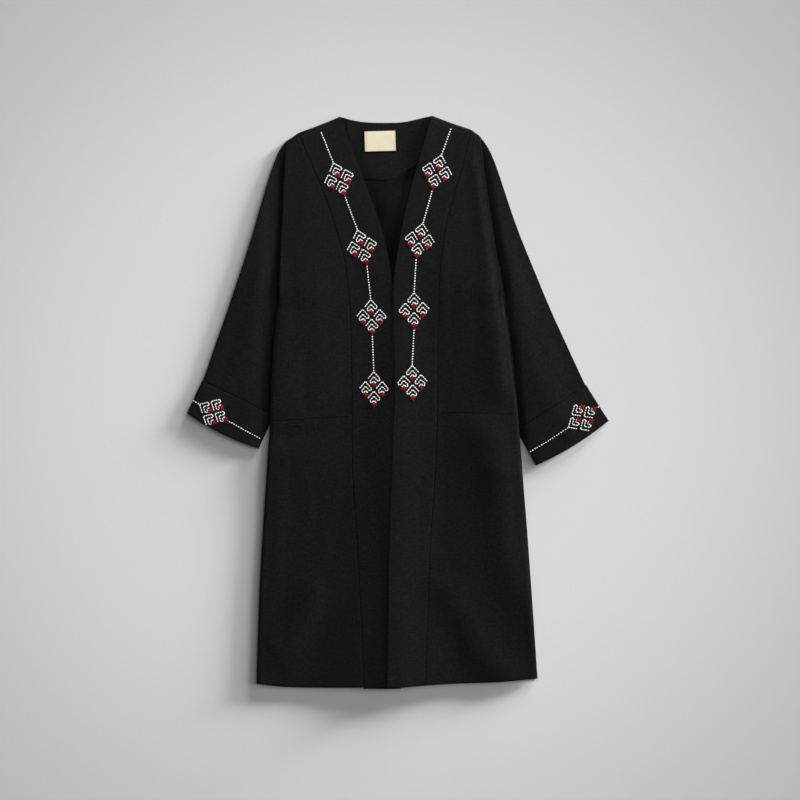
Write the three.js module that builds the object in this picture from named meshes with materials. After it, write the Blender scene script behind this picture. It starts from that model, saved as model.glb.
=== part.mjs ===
// An open-front manteau laid flat on its back. Millimetres, +Z up, +Y towards the neck. Left and right in
// the names are as seen from above, with the neck at the top, so +X is to the right.
//
// The cloth is built as thin walls. The back panel lies on the surface. The two side fronts and the two
// front bands lie above it with a low hollow between, and come down to it along the shoulders and the side
// seams. The sleeves are flattened tubes whose mouths meet the body along the armholes; below the underarms
// their inner folds pass beneath the body's sides, which rise over them.
import * as THREE from 'three';

// ---- driving dimensions ----
const CLOTH = 1.2;              // wall of the single cloth
const CUFF_CLOTH = 1.9;         // wall of the turned-back cuffs, two layers
const TRIM_CLOTH = 1.0;         // wall of the facing, the label and the pocket welts
const SEAM_GAP = 0.3;           // between two pieces that are sewn together or lie on each other
const BODY_HOLLOW = 5.0;        // clear height between the back and the fronts
const SLEEVE_HEIGHT = 7.4;      // outer height of the flattened sleeves
const CUFF_HEIGHT = 8.4;        // outer height of the flattened cuffs
const SIDE_LIFT = 8.9;          // how far the body's sides rise over the tucked sleeves
const ROLL = 11;                // width over which a front rolls down to a closed seam
const LAP_LIFT = CLOTH + SEAM_GAP;  // the right front lies over the left one by this much
const LAP = { starts: [260, 205], fades: [10, 42] };  // y where the lap begins, x where its lift fades
const LEFT_HEM_DROP = 2;        // the left band hangs this much lower than the rest
const CROWN = 1.7;              // general fullness of the fronts over the hollow
const FULL_INSIDE = 60;         // how far inside the closed edges the fullness and the folds are whole
const LABEL = { width: 66, height: 43, x: -35.6, y: 520.6, tilt: 0.026 };
// The facing's ends lie inside the neck edges above and under the bands below, between two heights.
const FACING = { top: 545, bottom: 450, insetAbove: 4, hiddenBelow: 12, underNeckline: 1.5 };
const WELT_DEPTH = 9;
const SLEEVE_CROWN = { centre: 0.38, spread: 0.36 };  // where a sleeve is full, as shares of its width
const LIFT_FADE = { back: [42, 84], front: [30, 135] };  // distances from the side where the lift fades

// ---- outlines, each a table of [x, y] from the top down ----
const LEFT_SIDE = [[-223.5, 517], [-238, 205], [-247, 123], [-252, 43], [-255.6, -57], [-264.8, -197],
  [-273.2, -317], [-278, -437], [-281.4, -561]];
const RIGHT_SIDE = [[163, 528], [213, 203], [224, 123], [233, 43], [241, -50], [249, -157],
  [259, -277], [267, -397], [278, -551]];
const LEFT_PRINCESS = [[-197, 528], [-179, 487], [-148, 414], [-123, 344], [-104, 273], [-96, 191],
  [-92, 43], [-92, -135], [-81, -296], [-73, -437], [-69, -570]];
const RIGHT_PRINCESS = [[145, 537], [125, 461], [97, 363], [85, 290], [80, 203], [78, -21], [74, -135],
  [63, -287], [53, -564]];
const LEFT_FRONT_EDGE = [[-115, 567], [-95, 507], [-71, 445], [-40, 371], [-19, 298], [-10, 224],
  [-4, 40], [5, -570]];
const RIGHT_FRONT_EDGE = [[67, 569], [55, 521], [36, 463], [12, 375], [-3, 289], [-9, 223], [-5, 43],
  [-10, -75], [-18, -317], [-21, -566]];
const SHOULDERS_AND_NECK = [[-223.5, 517], [-195, 536], [-155, 551], [-115, 567], [-74, 555], [9, 555],
  [67, 569], [105, 555], [145, 541], [163, 528]];
const BACK_HEM = [[-281.4, -561], [-236, -567], [-195, -569], [5, -568], [85, -562], [205, -558], [278, -551]];
const CENTRE_BACK = -24;
// x places of the back's columns that meet the points of its neckline, from each shoulder to the middle
const NECK_COLUMNS = { left: [-115, -74], right: [67, 38, 9] };
const FACING_EDGE = [[-90, 447], [-71, 443], [-22, 439], [15, 457], [50, 480]];

// Heights of the rows down the body: the rows near the underarm and the cuffs are closer together.
const ROW_LEVELS = [478, 420, 350, 285, 234, 214, 195, 176, 130, 80, 30, -20, -52, -84, -116, -150,
  -200, -270, -345, -420, -495];
const ROLL_STEPS = [0, 2, 5, ROLL];

// Where each side rises over its sleeve, from the top down: starts, full, last full, flat again.
const LIFT_SPAN = { left: [232, 178, -54, -116], right: [230, 176, -82, -150] };
const UNDERARM = { left: 205, right: 203 };

// The largest folds in the fronts: a straight line each, its half width and its height (below 0 for a trough).
const FOLDS = [
  { from: [118, -62], to: [160, -150], half: 15, height: -1.4 },
  { from: [160, -150], to: [190, -330], half: 20, height: -1.6 },
  { from: [190, -330], to: [250, -500], half: 26, height: -1.6 },
  { from: [140, -350], to: [262, -520], half: 26, height: 2.4 },
  { from: [215, -40], to: [248, -300], half: 14, height: 1.6 },
  { from: [158, 480], to: [172, -10], half: 15, height: -1.2 },
  { from: [210, 180], to: [205, -10], half: 14, height: 1.2 },
  { from: [-270, -540], to: [-120, -330], half: 30, height: 2.6 },
  { from: [-45, -140], to: [-62, -560], half: 32, height: -1.6 },
  { from: [-184, 140], to: [-180, -30], half: 16, height: -1.2 },
  { from: [-150, -560], to: [-120, -430], half: 18, height: -1.2 },
];

// ---- sleeves: one row for each section, from the armhole to the cuff ----
// outer and inner are the two folds of the flattened tube; fullness is the crown of its upper layer.
const LEFT_SLEEVE = [
  { outer: [-223.9, 516.9], inner: [-238.6, 205.5], fullness: 0 },
  { outer: [-237.5, 502], inner: [-239.6, 199], fullness: 0.2 },
  { outer: [-253, 459], inner: [-241, 190], fullness: 0.6 },
  { outer: [-267, 411], inner: [-244.6, 172], fullness: 1.2 },
  { outer: [-281, 363], inner: [-238, 150], fullness: 1.8 },
  { outer: [-295, 315], inner: [-226, 125], fullness: 2.2 },
  { outer: [-311, 267], inner: [-217, 98], fullness: 2.4 },
  { outer: [-327, 219], inner: [-216, 68], fullness: 2 },
  { outer: [-343, 171], inner: [-221, 38], fullness: 1.6 },
  { outer: [-365, 110], inner: [-234, 5], fullness: 1.2 },
  { outer: [-388, 41.4], inner: [-247.8, -26.3], fullness: 0.6 },
];
const RIGHT_SLEEVE = [
  { outer: [163.8, 527.9], inner: [214, 203.5], fullness: 0 },
  { outer: [183.5, 502], inner: [215.6, 196], fullness: 0.2 },
  { outer: [199.5, 459], inner: [217.8, 186], fullness: 0.6 },
  { outer: [213, 417], inner: [221.4, 168], fullness: 1.2 },
  { outer: [231, 363], inner: [214, 146], fullness: 1.8 },
  { outer: [247, 320], inner: [204, 120], fullness: 2.2 },
  { outer: [266, 275], inner: [196, 92], fullness: 2.4 },
  { outer: [286, 226], inner: [195, 60], fullness: 2 },
  { outer: [309, 171], inner: [201, 26], fullness: 1.6 },
  { outer: [340, 105], inner: [217, -14], fullness: 1.2 },
  { outer: [373.2, 32.1], inner: [236.9, -56.2], fullness: 0.6 },
];
// ---- cuffs: three sections each; bow is how far the section curves towards the hand ----
const LEFT_CUFF = [
  { outer: [-390, 42], inner: [-247, -27], bow: 0 },
  { outer: [-406, 8], inner: [-261, -60], bow: 3 },
  { outer: [-420, -23], inner: [-277, -94], bow: 6.5 },
];
const RIGHT_CUFF = [
  { outer: [375, 33], inner: [236, -57], bow: 0 },
  { outer: [398, -4], inner: [255, -92], bow: 3 },
  { outer: [420, -38], inner: [275, -127], bow: 6 },
];
const POCKETS = {
  left: { from: [-203, -41], to: [-96, -35] },
  right: { from: [101, -27], to: [215, -30] },
};

// ---- small helpers ----
const clamp01 = (value) => Math.min(1, Math.max(0, value));
const lerp = (a, b, f) => a + (b - a) * f;
const smoothstep = (from, to, value) => {
  const f = clamp01((value - from) / (to - from));
  return f * f * (3 - 2 * f);
};

/** Reads a table of [x, y] rows: the value in column 1 - key where column key equals at. */
function lookUp(table, key, at) {
  const rising = table[table.length - 1][key] > table[0][key];
  const before = (row) => (rising ? row[key] >= at : row[key] <= at);
  const next = Math.max(1, table.findIndex((row, i) => i > 0 && before(row)));
  const index = before(table[next]) ? next : table.length - 1;
  const [a, b] = [table[index - 1], table[index]];
  return lerp(a[1 - key], b[1 - key], clamp01((at - a[key]) / (b[key] - a[key])));
}
const xAt = (table, y) => lookUp(table, 1, y);
const yAt = (table, x) => lookUp(table, 0, x);

/** A mesh geometry from points and triangles, turned so that its faces point out. */
function closedGeometry(points, triangles) {
  let volume = 0;
  for (const [a, b, c] of triangles) {
    volume += points[a].dot(new THREE.Vector3().crossVectors(points[b], points[c]));
  }
  const facing = volume < 0 ? triangles.map(([a, b, c]) => [a, c, b]) : triangles;
  const geometry = new THREE.BufferGeometry();
  geometry.setAttribute('position', new THREE.Float32BufferAttribute(points.flatMap((p) => p.toArray()), 3));
  geometry.setIndex(facing.flat());
  geometry.computeVertexNormals();
  return geometry;
}

/** A wall of even thickness on both sides of a grid of points (rows from the top down, columns towards +X). */
function sheetGeometry(grid, thickness) {
  const [rows, columns] = [grid.length, grid[0].length];
  const faces = [[], []];
  for (let i = 0; i < rows; i++) {
    for (let j = 0; j < columns; j++) {
      const across = grid[i][Math.min(j + 1, columns - 1)].clone().sub(grid[i][Math.max(j - 1, 0)]);
      const up = grid[Math.max(i - 1, 0)][j].clone().sub(grid[Math.min(i + 1, rows - 1)][j]);
      const normal = across.cross(up).normalize().multiplyScalar(thickness / 2);
      faces[0].push(grid[i][j].clone().add(normal));
      faces[1].push(grid[i][j].clone().sub(normal));
    }
  }
  const at = (i, j) => i * columns + j;
  const under = rows * columns;
  const triangles = [];
  for (let i = 0; i + 1 < rows; i++) {
    for (let j = 0; j + 1 < columns; j++) {
      const [a, b, c, d] = [at(i + 1, j), at(i + 1, j + 1), at(i, j + 1), at(i, j)];
      triangles.push([a, b, c], [a, c, d]);
      triangles.push([a + under, c + under, b + under], [a + under, d + under, c + under]);
    }
  }
  const rim = [];
  for (let j = 0; j + 1 < columns; j++) rim.push(at(0, j));
  for (let i = 0; i + 1 < rows; i++) rim.push(at(i, columns - 1));
  for (let j = columns - 1; j > 0; j--) rim.push(at(rows - 1, j));
  for (let i = rows - 1; i > 0; i--) rim.push(at(i, 0));
  rim.forEach((a, k) => {
    const b = rim[(k + 1) % rim.length];
    triangles.push([a, b, b + under], [a, b + under, a + under]);
  });
  return closedGeometry([...faces[0], ...faces[1]], triangles);
}

// ---- heights of the body's layers ----

/** How much of the sides' lift there is at a height y. */
function liftAt(side, y) {
  const [start, full, last, flat] = LIFT_SPAN[side];
  return SIDE_LIFT * smoothstep(start, full, y) * (1 - smoothstep(last, flat, y));
}

/** Distances from the two sides of the body. */
const fromLeft = (x, y) => x - xAt(LEFT_SIDE, y);
const fromRight = (x, y) => xAt(RIGHT_SIDE, y) - x;

/** The middle of the back panel's wall. */
function backHeight(x, y) {
  const left = liftAt('left', y) * (1 - smoothstep(...LIFT_FADE.back, fromLeft(x, y)));
  const right = liftAt('right', y) * (1 - smoothstep(...LIFT_FADE.back, fromRight(x, y)));
  return CLOTH / 2 + Math.max(left, right);
}

/** The sum of the folds at a point of the fronts. */
function foldHeight(x, y) {
  return FOLDS.reduce((sum, { from, to, half, height }) => {
    const [along, across] = [to[0] - from[0], to[1] - from[1]];
    const f = clamp01(((x - from[0]) * along + (y - from[1]) * across) / (along ** 2 + across ** 2));
    const away = Math.hypot(x - lerp(from[0], to[0], f), y - lerp(from[1], to[1], f));
    return sum + height * Math.exp(-((away / half) ** 2));
  }, 0);
}

/** The middle of the fronts' wall: closed along the shoulders and the side seams, open at the armholes. */
function frontHeight(x, y, belowShoulder) {
  const side = x < 0 ? 'left' : 'right';
  const fromSide = side === 'left' ? fromLeft(x, y) : fromRight(x, y);
  const closed = 1 - smoothstep(UNDERARM[side] - 4, UNDERARM[side] + 2 * ROLL, y);
  const nearest = Math.min(belowShoulder, lerp(ROLL, fromSide, closed), ROLL);
  const roll = Math.sqrt(1 - (1 - nearest / ROLL) ** 2);
  const lift = liftAt(side, y) * (1 - smoothstep(...LIFT_FADE.front, fromSide));
  const inside = smoothstep(0, FULL_INSIDE, fromSide) * smoothstep(0, FULL_INSIDE, belowShoulder);
  const fullness = (CROWN + foldHeight(x, y)) * inside;
  return CLOTH + SEAM_GAP + CLOTH / 2 + (BODY_HOLLOW - SEAM_GAP) * roll + lift + Math.max(fullness, 0);
}

// ---- body panels ----

/** Rows of points between two outlines. columnsAt gives the x places of a row; top and bottom its ends. */
function panelGrid(columns, top, bottom, steps, heightAt) {
  const rows = steps.length + ROW_LEVELS.length + 1;
  return Array.from({ length: rows }, (_, i) => columns.map((columnAt) => {
    const ceiling = top(columnAt(Infinity));
    const floor = bottom(columnAt(-Infinity));
    const levels = [...steps.map((step) => ceiling - step), ...ROW_LEVELS, floor];
    const y = levels[i];
    const x = columnAt(y);
    return new THREE.Vector3(x, y, heightAt(x, y, ceiling - y));
  }));
}

/** Columns across a panel: at each, the distance from one outline, or the share of the way to the other. */
function columnsBetween(near, far, distances, shares) {
  const direction = Math.sign(xAt(far, 0) - xAt(near, 0));
  const start = distances[distances.length - 1];
  return [
    ...distances.map((distance) => (y) => xAt(near, y) + direction * distance),
    ...shares.map((share) => (y) => lerp(xAt(near, y) + direction * start, xAt(far, y), share)),
  ];
}

/** An outline moved sideways, as for the gap at a seam. */
const moved = (table, by) => table.map(([x, y]) => [x + by, y]);
const shoulder = (x) => yAt(SHOULDERS_AND_NECK, x);
const evenShares = (count) => Array.from({ length: count }, (_, i) => (i + 1) / count);

function backPanel() {
  const [liftKept, liftGone] = LIFT_FADE.back;
  const sideSteps = [0, liftKept / 3, (2 * liftKept) / 3, liftKept, (liftKept + liftGone) / 2, liftGone];
  const middle = [[CENTRE_BACK, 0], [CENTRE_BACK, -1]];
  const shares = (start, places) => places.map((x) => (x - start) / (CENTRE_BACK - start));
  const left = shares(LEFT_SIDE[0][0] + liftGone, NECK_COLUMNS.left);
  const right = shares(RIGHT_SIDE[0][0] - liftGone, NECK_COLUMNS.right);
  const columns = [
    ...columnsBetween(LEFT_SIDE, middle, sideSteps, [...left, 1]),
    ...columnsBetween(RIGHT_SIDE, middle, sideSteps, right).reverse(),
  ];
  return sheetGeometry(panelGrid(columns, shoulder, (x) => yAt(BACK_HEM, x), [0], backHeight), CLOTH);
}

function sideFront(side) {
  const inset = CLOTH / 2;
  const [outline, seam, sign] = side === 'left'
    ? [LEFT_SIDE, LEFT_PRINCESS, 1] : [RIGHT_SIDE, RIGHT_PRINCESS, -1];
  const edge = outline.map(([x, y]) => [x + (y < UNDERARM[side] + 1 ? sign * inset : 0), y]);
  const columns = columnsBetween(edge, moved(seam, -sign * SEAM_GAP / 2), ROLL_STEPS, evenShares(6));
  const hem = (x) => yAt(BACK_HEM, x);
  const grid = panelGrid(side === 'left' ? columns : columns.reverse(), shoulder, hem, ROLL_STEPS, frontHeight);
  return sheetGeometry(grid, CLOTH);
}

function frontBand(side) {
  const [edge, seam, sign] = side === 'left'
    ? [LEFT_FRONT_EDGE, LEFT_PRINCESS, 1] : [RIGHT_FRONT_EDGE, RIGHT_PRINCESS, -1];
  const columns = columnsBetween(moved(seam, sign * SEAM_GAP / 2), edge, [0], evenShares(5));
  const height = (x, y, belowShoulder) => {
    const lapped = side === 'right' ? smoothstep(...LAP.starts, y) * (1 - smoothstep(...LAP.fades, x)) : 0;
    return frontHeight(x, y, belowShoulder) + LAP_LIFT * lapped;
  };
  const hem = (x) => yAt(BACK_HEM, x) - (side === 'left' ? LEFT_HEM_DROP : 0);
  const grid = panelGrid(side === 'left' ? columns : columns.reverse(), shoulder, hem, ROLL_STEPS, height);
  return sheetGeometry(grid, CLOTH);
}

// ---- what lies on the panels ----

/** The facing inside the back neck: it follows the neckline above and curves below. */
function backNeckFacing() {
  const [rows, columns] = [5, 9];
  const height = CLOTH + SEAM_GAP + TRIM_CLOTH / 2;
  const grid = Array.from({ length: rows }, (_, i) => Array.from({ length: columns }, (__, j) => {
    const [down, across] = [i / (rows - 1), j / (columns - 1)];
    const inset = lerp(FACING.insetAbove, -FACING.hiddenBelow, down);
    const level = lerp(FACING.top, FACING.bottom, down);
    const x = lerp(xAt(LEFT_FRONT_EDGE, level) + inset, xAt(RIGHT_FRONT_EDGE, level) - inset, across);
    const y = lerp(yAt(SHOULDERS_AND_NECK, x) - FACING.underNeckline, yAt(FACING_EDGE, x), down);
    return new THREE.Vector3(x, y, height);
  }));
  return sheetGeometry(grid, TRIM_CLOTH);
}

function neckLabel() {
  const height = CLOTH + SEAM_GAP + TRIM_CLOTH + SEAM_GAP + TRIM_CLOTH / 2;
  const geometry = new THREE.BoxGeometry(LABEL.width, LABEL.height, TRIM_CLOTH, 4, 3, 1);
  geometry.rotateZ(LABEL.tilt);
  geometry.translate(LABEL.x, LABEL.y, height);
  return geometry;
}

/** A pocket's welt: a narrow strip on the side front, made from that panel's own heights moved out. */
function pocketWelt(side) {
  const { from, to } = POCKETS[side];
  const columns = 7;
  const rise = CLOTH / 2 + 2.5 * SEAM_GAP + TRIM_CLOTH / 2;
  const grid = [0, 1].map((down) => Array.from({ length: columns }, (_, j) => {
    const x = lerp(from[0], to[0], j / (columns - 1));
    const y = lerp(from[1], to[1], j / (columns - 1)) - down * WELT_DEPTH;
    return new THREE.Vector3(x, y, frontHeight(x, y, Infinity) + rise);
  }));
  return sheetGeometry(grid, TRIM_CLOTH);
}

// ---- sleeves and cuffs ----

/** One closed ring of a flattened tube: flat below, crowned above, round at both folds. */
function flatRing({ outer, inner, fullness = 0, bow = 0 }, height, inset, handwards) {
  const flatPoints = 6;
  const arcPoints = 3;
  const from = new THREE.Vector2(...outer);
  const along = new THREE.Vector2(...inner).sub(from);
  const width = along.length();
  along.normalize();
  const radius = height / 2 - inset;
  const point = (distance, z) => {
    const share = distance / width;
    const out = bow * 4 * share * (1 - share);
    return new THREE.Vector3(
      from.x + along.x * distance + handwards.x * out,
      from.y + along.y * distance + handwards.y * out,
      z,
    );
  };
  const crown = (distance) => {
    const away = Math.abs(distance / width - SLEEVE_CROWN.centre) / SLEEVE_CROWN.spread;
    return fullness * Math.cos((Math.PI / 2) * clamp01(away)) ** 2;
  };
  const [first, last] = [inset + radius, width - inset - radius];
  const ring = [];
  for (let i = 0; i < flatPoints; i++) {
    ring.push(point(lerp(first, last, i / (flatPoints - 1)), height / 2 - radius));
  }
  for (let i = 1; i <= arcPoints; i++) {
    const angle = -Math.PI / 2 + (Math.PI * i) / (arcPoints + 1);
    ring.push(point(last + radius * Math.cos(angle), height / 2 + radius * Math.sin(angle)));
  }
  for (let i = flatPoints - 1; i >= 0; i--) {
    const distance = lerp(first, last, i / (flatPoints - 1));
    ring.push(point(distance, height / 2 + radius + crown(distance)));
  }
  for (let i = 1; i <= arcPoints; i++) {
    const angle = Math.PI / 2 + (Math.PI * i) / (arcPoints + 1);
    ring.push(point(first + radius * Math.cos(angle), height / 2 + radius * Math.sin(angle)));
  }
  return ring;
}

/** An open tube with an even wall, lofted through flattened sections. */
function tubeGeometry(sections, height, wall) {
  const last = sections[sections.length - 1];
  const across = new THREE.Vector2(...last.inner).sub(new THREE.Vector2(...last.outer)).normalize();
  const handwards = new THREE.Vector2(across.y, -across.x);
  if (handwards.y > 0) handwards.negate();
  const skinAt = (inset) => sections.map((section) => flatRing(section, height, inset, handwards));
  const skins = [skinAt(0), skinAt(wall)];
  const count = skins[0][0].length;
  const rings = sections.length;
  const at = (skin, k, m) => (skin * rings + k) * count + (m % count);
  const triangles = [];
  const quad = (a, b, c, d) => triangles.push([a, b, c], [a, c, d]);
  for (let m = 0; m < count; m++) {
    for (let k = 0; k + 1 < rings; k++) {
      quad(at(0, k, m), at(0, k + 1, m), at(0, k + 1, m + 1), at(0, k, m + 1));
      quad(at(1, k, m + 1), at(1, k + 1, m + 1), at(1, k + 1, m), at(1, k, m));
    }
    quad(at(0, 0, m), at(0, 0, m + 1), at(1, 0, m + 1), at(1, 0, m));
    quad(at(0, rings - 1, m + 1), at(0, rings - 1, m), at(1, rings - 1, m), at(1, rings - 1, m + 1));
  }
  return closedGeometry(skins.flat(2), triangles);
}

// ---- finishes and assembly ----
const wool = new THREE.MeshStandardMaterial({ color: 0x1b1b1e, roughness: 0.92, metalness: 0 });
const labelCloth = new THREE.MeshStandardMaterial({ color: 0xdcd2af, roughness: 0.85, metalness: 0 });

const manteau = new THREE.Group();

/** Adds a named piece to the garment. */
function addPiece(name, geometry, material) {
  const mesh = new THREE.Mesh(geometry, material);
  mesh.name = name;
  manteau.add(mesh);
}

addPiece('back', backPanel(), wool);
for (const side of ['left', 'right']) {
  addPiece(`front_side_${side}`, sideFront(side), wool);
  addPiece(`front_band_${side}`, frontBand(side), wool);
  addPiece(`pocket_welt_${side}`, pocketWelt(side), wool);
}
addPiece('sleeve_left', tubeGeometry(LEFT_SLEEVE, SLEEVE_HEIGHT, CLOTH), wool);
addPiece('sleeve_right', tubeGeometry(RIGHT_SLEEVE, SLEEVE_HEIGHT, CLOTH), wool);
addPiece('cuff_left', tubeGeometry(LEFT_CUFF, CUFF_HEIGHT, CUFF_CLOTH), wool);
addPiece('cuff_right', tubeGeometry(RIGHT_CUFF, CUFF_HEIGHT, CUFF_CLOTH), wool);
addPiece('back_neck_facing', backNeckFacing(), wool);
addPiece('neck_label', neckLabel(), labelCloth);

// The origin is the middle of the garment's box, on the surface that it lies on.
const box = new THREE.Box3().setFromObject(manteau, true);
manteau.position.set(-(box.min.x + box.max.x) / 2, -(box.min.y + box.max.y) / 2, -box.min.z);

export default manteau;
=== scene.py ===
"""An open-front manteau of matt black cloth, laid flat on its back on a pale studio floor.

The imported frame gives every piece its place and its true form. This script turns each cut piece of cloth
into a fine shell with its soft creases, sewn edges and grain, lays the running stitch and the lozenges of
white and crimson thread on it, and sets the floor, the light and the camera. Metres, +Z up, +Y to the neck.
Left and right in the names are as seen from above with the neck at the top.
"""

import logging
import math
from dataclasses import dataclass
from enum import Enum

import bmesh
import bpy
import numpy as np
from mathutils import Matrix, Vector
from mathutils.bvhtree import BVHTree


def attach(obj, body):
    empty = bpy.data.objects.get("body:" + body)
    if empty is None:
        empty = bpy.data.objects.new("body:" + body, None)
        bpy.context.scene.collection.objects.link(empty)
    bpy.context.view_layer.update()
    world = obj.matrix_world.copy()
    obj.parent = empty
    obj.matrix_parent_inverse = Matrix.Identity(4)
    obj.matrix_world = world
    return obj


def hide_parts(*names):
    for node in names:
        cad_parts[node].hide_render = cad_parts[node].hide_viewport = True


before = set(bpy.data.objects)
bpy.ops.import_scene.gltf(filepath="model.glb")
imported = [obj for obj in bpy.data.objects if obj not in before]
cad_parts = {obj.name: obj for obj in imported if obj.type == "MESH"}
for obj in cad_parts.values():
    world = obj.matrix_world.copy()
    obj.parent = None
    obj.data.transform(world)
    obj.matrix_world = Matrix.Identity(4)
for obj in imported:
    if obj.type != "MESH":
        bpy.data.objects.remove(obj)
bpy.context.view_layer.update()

LOG = logging.getLogger("manteau")
MM = 0.001
SHIFT_Y = 0.462      # mm: the tables' y is measured from a place this far above the frame's origin
FAR = 1000.0         # mm: a distance that no seam reaches
SEWN_WITHIN = 1.5    # mm: an edge this near a seam is sewn to its neighbour and stays square

Colour = tuple[float, float, float]
Row = tuple[float, float]
Course = tuple[Row, ...]


class Side(Enum):
    """The two halves of the garment, as seen from above."""

    LEFT = "left"
    RIGHT = "right"


class Thread(Enum):
    """The embroidery threads, each named as its slot in the record."""

    WHITE = "thread_white"
    CRIMSON = "thread_crimson"


# ---- seam courses, in mm, from the top down ----
PRINCESS: dict[Side, Course] = {
    Side.LEFT: ((-197, 528), (-179, 487), (-148, 414), (-123, 344), (-104, 273), (-96, 191), (-92, 43),
                (-92, -135), (-81, -296), (-73, -437), (-69, -570)),
    Side.RIGHT: ((145, 537), (125, 461), (97, 363), (85, 290), (80, 203), (78, -21), (74, -135),
                 (63, -287), (53, -564)),
}
SIDE_SEAM: dict[Side, Course] = {
    Side.LEFT: ((-238, 205), (-247, 123), (-252, 43), (-255.6, -57), (-264.8, -197), (-273.2, -317),
                (-278, -437), (-281.4, -561)),
    Side.RIGHT: ((214, 203), (224, 123), (233, 43), (241, -50), (249, -157), (259, -277), (267, -397),
                 (278, -551)),
}
ARMHOLE: dict[Side, Course] = {
    Side.LEFT: ((-223.5, 517), (-238, 205)),
    Side.RIGHT: ((163, 528), (214, 203)),
}
SHOULDER: dict[Side, Course] = {
    Side.LEFT: ((-223.5, 510), (-195, 528.5), (-155, 543.5), (-113, 560)),
    Side.RIGHT: ((66, 562), (105, 547.5), (145, 533.5), (163, 521)),
}
FRONT_EDGE: dict[Side, Course] = {
    Side.LEFT: ((-115, 567), (-95, 507), (-71, 445), (-40, 371), (-19, 298), (-10, 224), (-4, 40),
                (5, -570)),
    Side.RIGHT: ((67, 569), (55, 521), (36, 463), (12, 375), (-3, 289), (-9, 223), (-5, 43), (-10, -75),
                 (-18, -317), (-21, -566)),
}
CUFF_SEAM: dict[Side, Course] = {
    Side.LEFT: ((-390, 42), (-247, -27)),
    Side.RIGHT: ((375, 33), (236, -57)),
}
# The lines along the cuffs: slits that painted shade darkens.
CUFF_LINE: dict[Side, Course] = {
    Side.LEFT: CUFF_SEAM[Side.LEFT],
    Side.RIGHT: ((360, 23.3), (236, -57)),
}
FACING_EDGE: Course = ((-90, 448), (-75, 444), (-58, 440), (-39, 437), (-23, 437), (-10, 440),
                       (1, 447), (21, 458), (37, 468), (50, 480))
# The pocket mouths: slits that painted shade darkens and a bump grooves.
POCKET_MOUTH: dict[Side, Course] = {
    Side.LEFT: ((-249, -38.6), (-203, -36.2), (-97, -30.2)),
    Side.RIGHT: ((78, -29.5), (90, -24.4), (101, -22.2), (160, -23.6), (238, -26.4)),
}


def smoothstep(low: float, high: float, value: np.ndarray) -> np.ndarray:
    """Rises softly from 0 at low to 1 at high."""
    share = np.clip((value - low) / (high - low), 0.0, 1.0)
    return share * share * (3.0 - 2.0 * share)


def measure_from(course: Course, at: np.ndarray) -> tuple[np.ndarray, np.ndarray, float]:
    """Measures points against a course.

    Args:
        course: The course's points, in mm.
        at: The points to measure, one row of x and y each, in mm.

    Returns:
        The signed distance of each point (above 0 on the course's left), how far along the course its
        nearest point lies, and the course's length.
    """
    line = np.asarray(course, float)
    signed, along, travelled = np.full(len(at), np.inf), np.zeros(len(at)), 0.0
    for start, end in zip(line[:-1], line[1:]):
        leg = end - start
        length = float(np.hypot(*leg))
        heading = leg / length
        offset = at - start
        share = np.clip(offset @ heading, 0.0, length)
        gap = np.linalg.norm(offset - share[:, None] * heading, axis=1)
        turn = heading[0] * offset[:, 1] - heading[1] * offset[:, 0]
        closer = gap < np.abs(signed)
        signed = np.where(closer, np.where(turn < 0, -gap, gap), signed)
        along = np.where(closer, travelled + share, along)
        travelled += length
    return signed, along, travelled


@dataclass(frozen=True)
class Crease:
    """A soft fold in the cloth.

    It has a course in mm, run from the top down, half widths at its two ends, and a height (below 0 for a
    trough) or its heights at the two ends. Its side toward -X may have other half widths. A peaked fold
    runs up to an edge instead of over a round crest.
    """

    # Used as a shade, its height from 0 to 1 sets how far painted shade darkens the cloth.
    course: Course
    widths: tuple[float, float]
    height: float | tuple[float, float]
    fade: float = 0.2
    far_widths: tuple[float, float] | None = None
    peaked: bool = False
    peak_power: float = 1.15

    def relief(self, at: np.ndarray) -> np.ndarray:
        """Gives the fold's height at points.

        Args:
            at: Rows of x and y, in mm.

        Returns:
            The height at each point, in mm.
        """
        signed, along, length = measure_from(self.course, at)
        share = along / length
        near, far = (np.interp(share, (0.0, 1.0), pair)
                     for pair in (self.widths, self.far_widths or self.widths))
        reach = np.abs(signed) / np.where(signed > 0.0, near, far)
        profile = (np.clip(1.0 - reach, 0.0, 1.0) ** self.peak_power if self.peaked
                   else np.exp(-(reach ** 2)))
        height = np.interp(share, (0.0, 1.0), np.broadcast_to(self.height, 2))
        ends = smoothstep(0.0, self.fade, share) * (1.0 - smoothstep(1.0 - self.fade, 1.0, share))
        return height * profile * ends


@dataclass(frozen=True)
class Seam:
    """A sewn line, in mm: the cloth dips into it and puffs a little beside it."""

    course: Course
    depth: float = 0.15
    reach: float = 1.8
    puff: float = 0.15
    puff_away: float = 7.0
    puff_reach: float = 5.0

    def relief(self, at: np.ndarray) -> np.ndarray:
        """Gives the seam's height at points.

        Args:
            at: Rows of x and y, in mm.

        Returns:
            The height at each point, in mm.
        """
        gap = np.abs(measure_from(self.course, at)[0])
        puff = self.puff * np.exp(-(((gap - self.puff_away) / self.puff_reach) ** 2))
        return puff - self.depth * np.exp(-((gap / self.reach) ** 2))


@dataclass(frozen=True)
class Pressed:
    """A tube pressed flatter along a course.

    It has the share of its height that is left there, and how far from the course it starts and ends to
    swell again, in mm.
    """

    course: Course
    share: float
    reach: tuple[float, float]

    def scale(self, at: np.ndarray) -> np.ndarray:
        """Gives the share of their height that points, in mm, keep."""
        gap = np.abs(measure_from(self.course, at)[0])
        return self.share + (1.0 - self.share) * smoothstep(*self.reach, gap)


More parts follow.
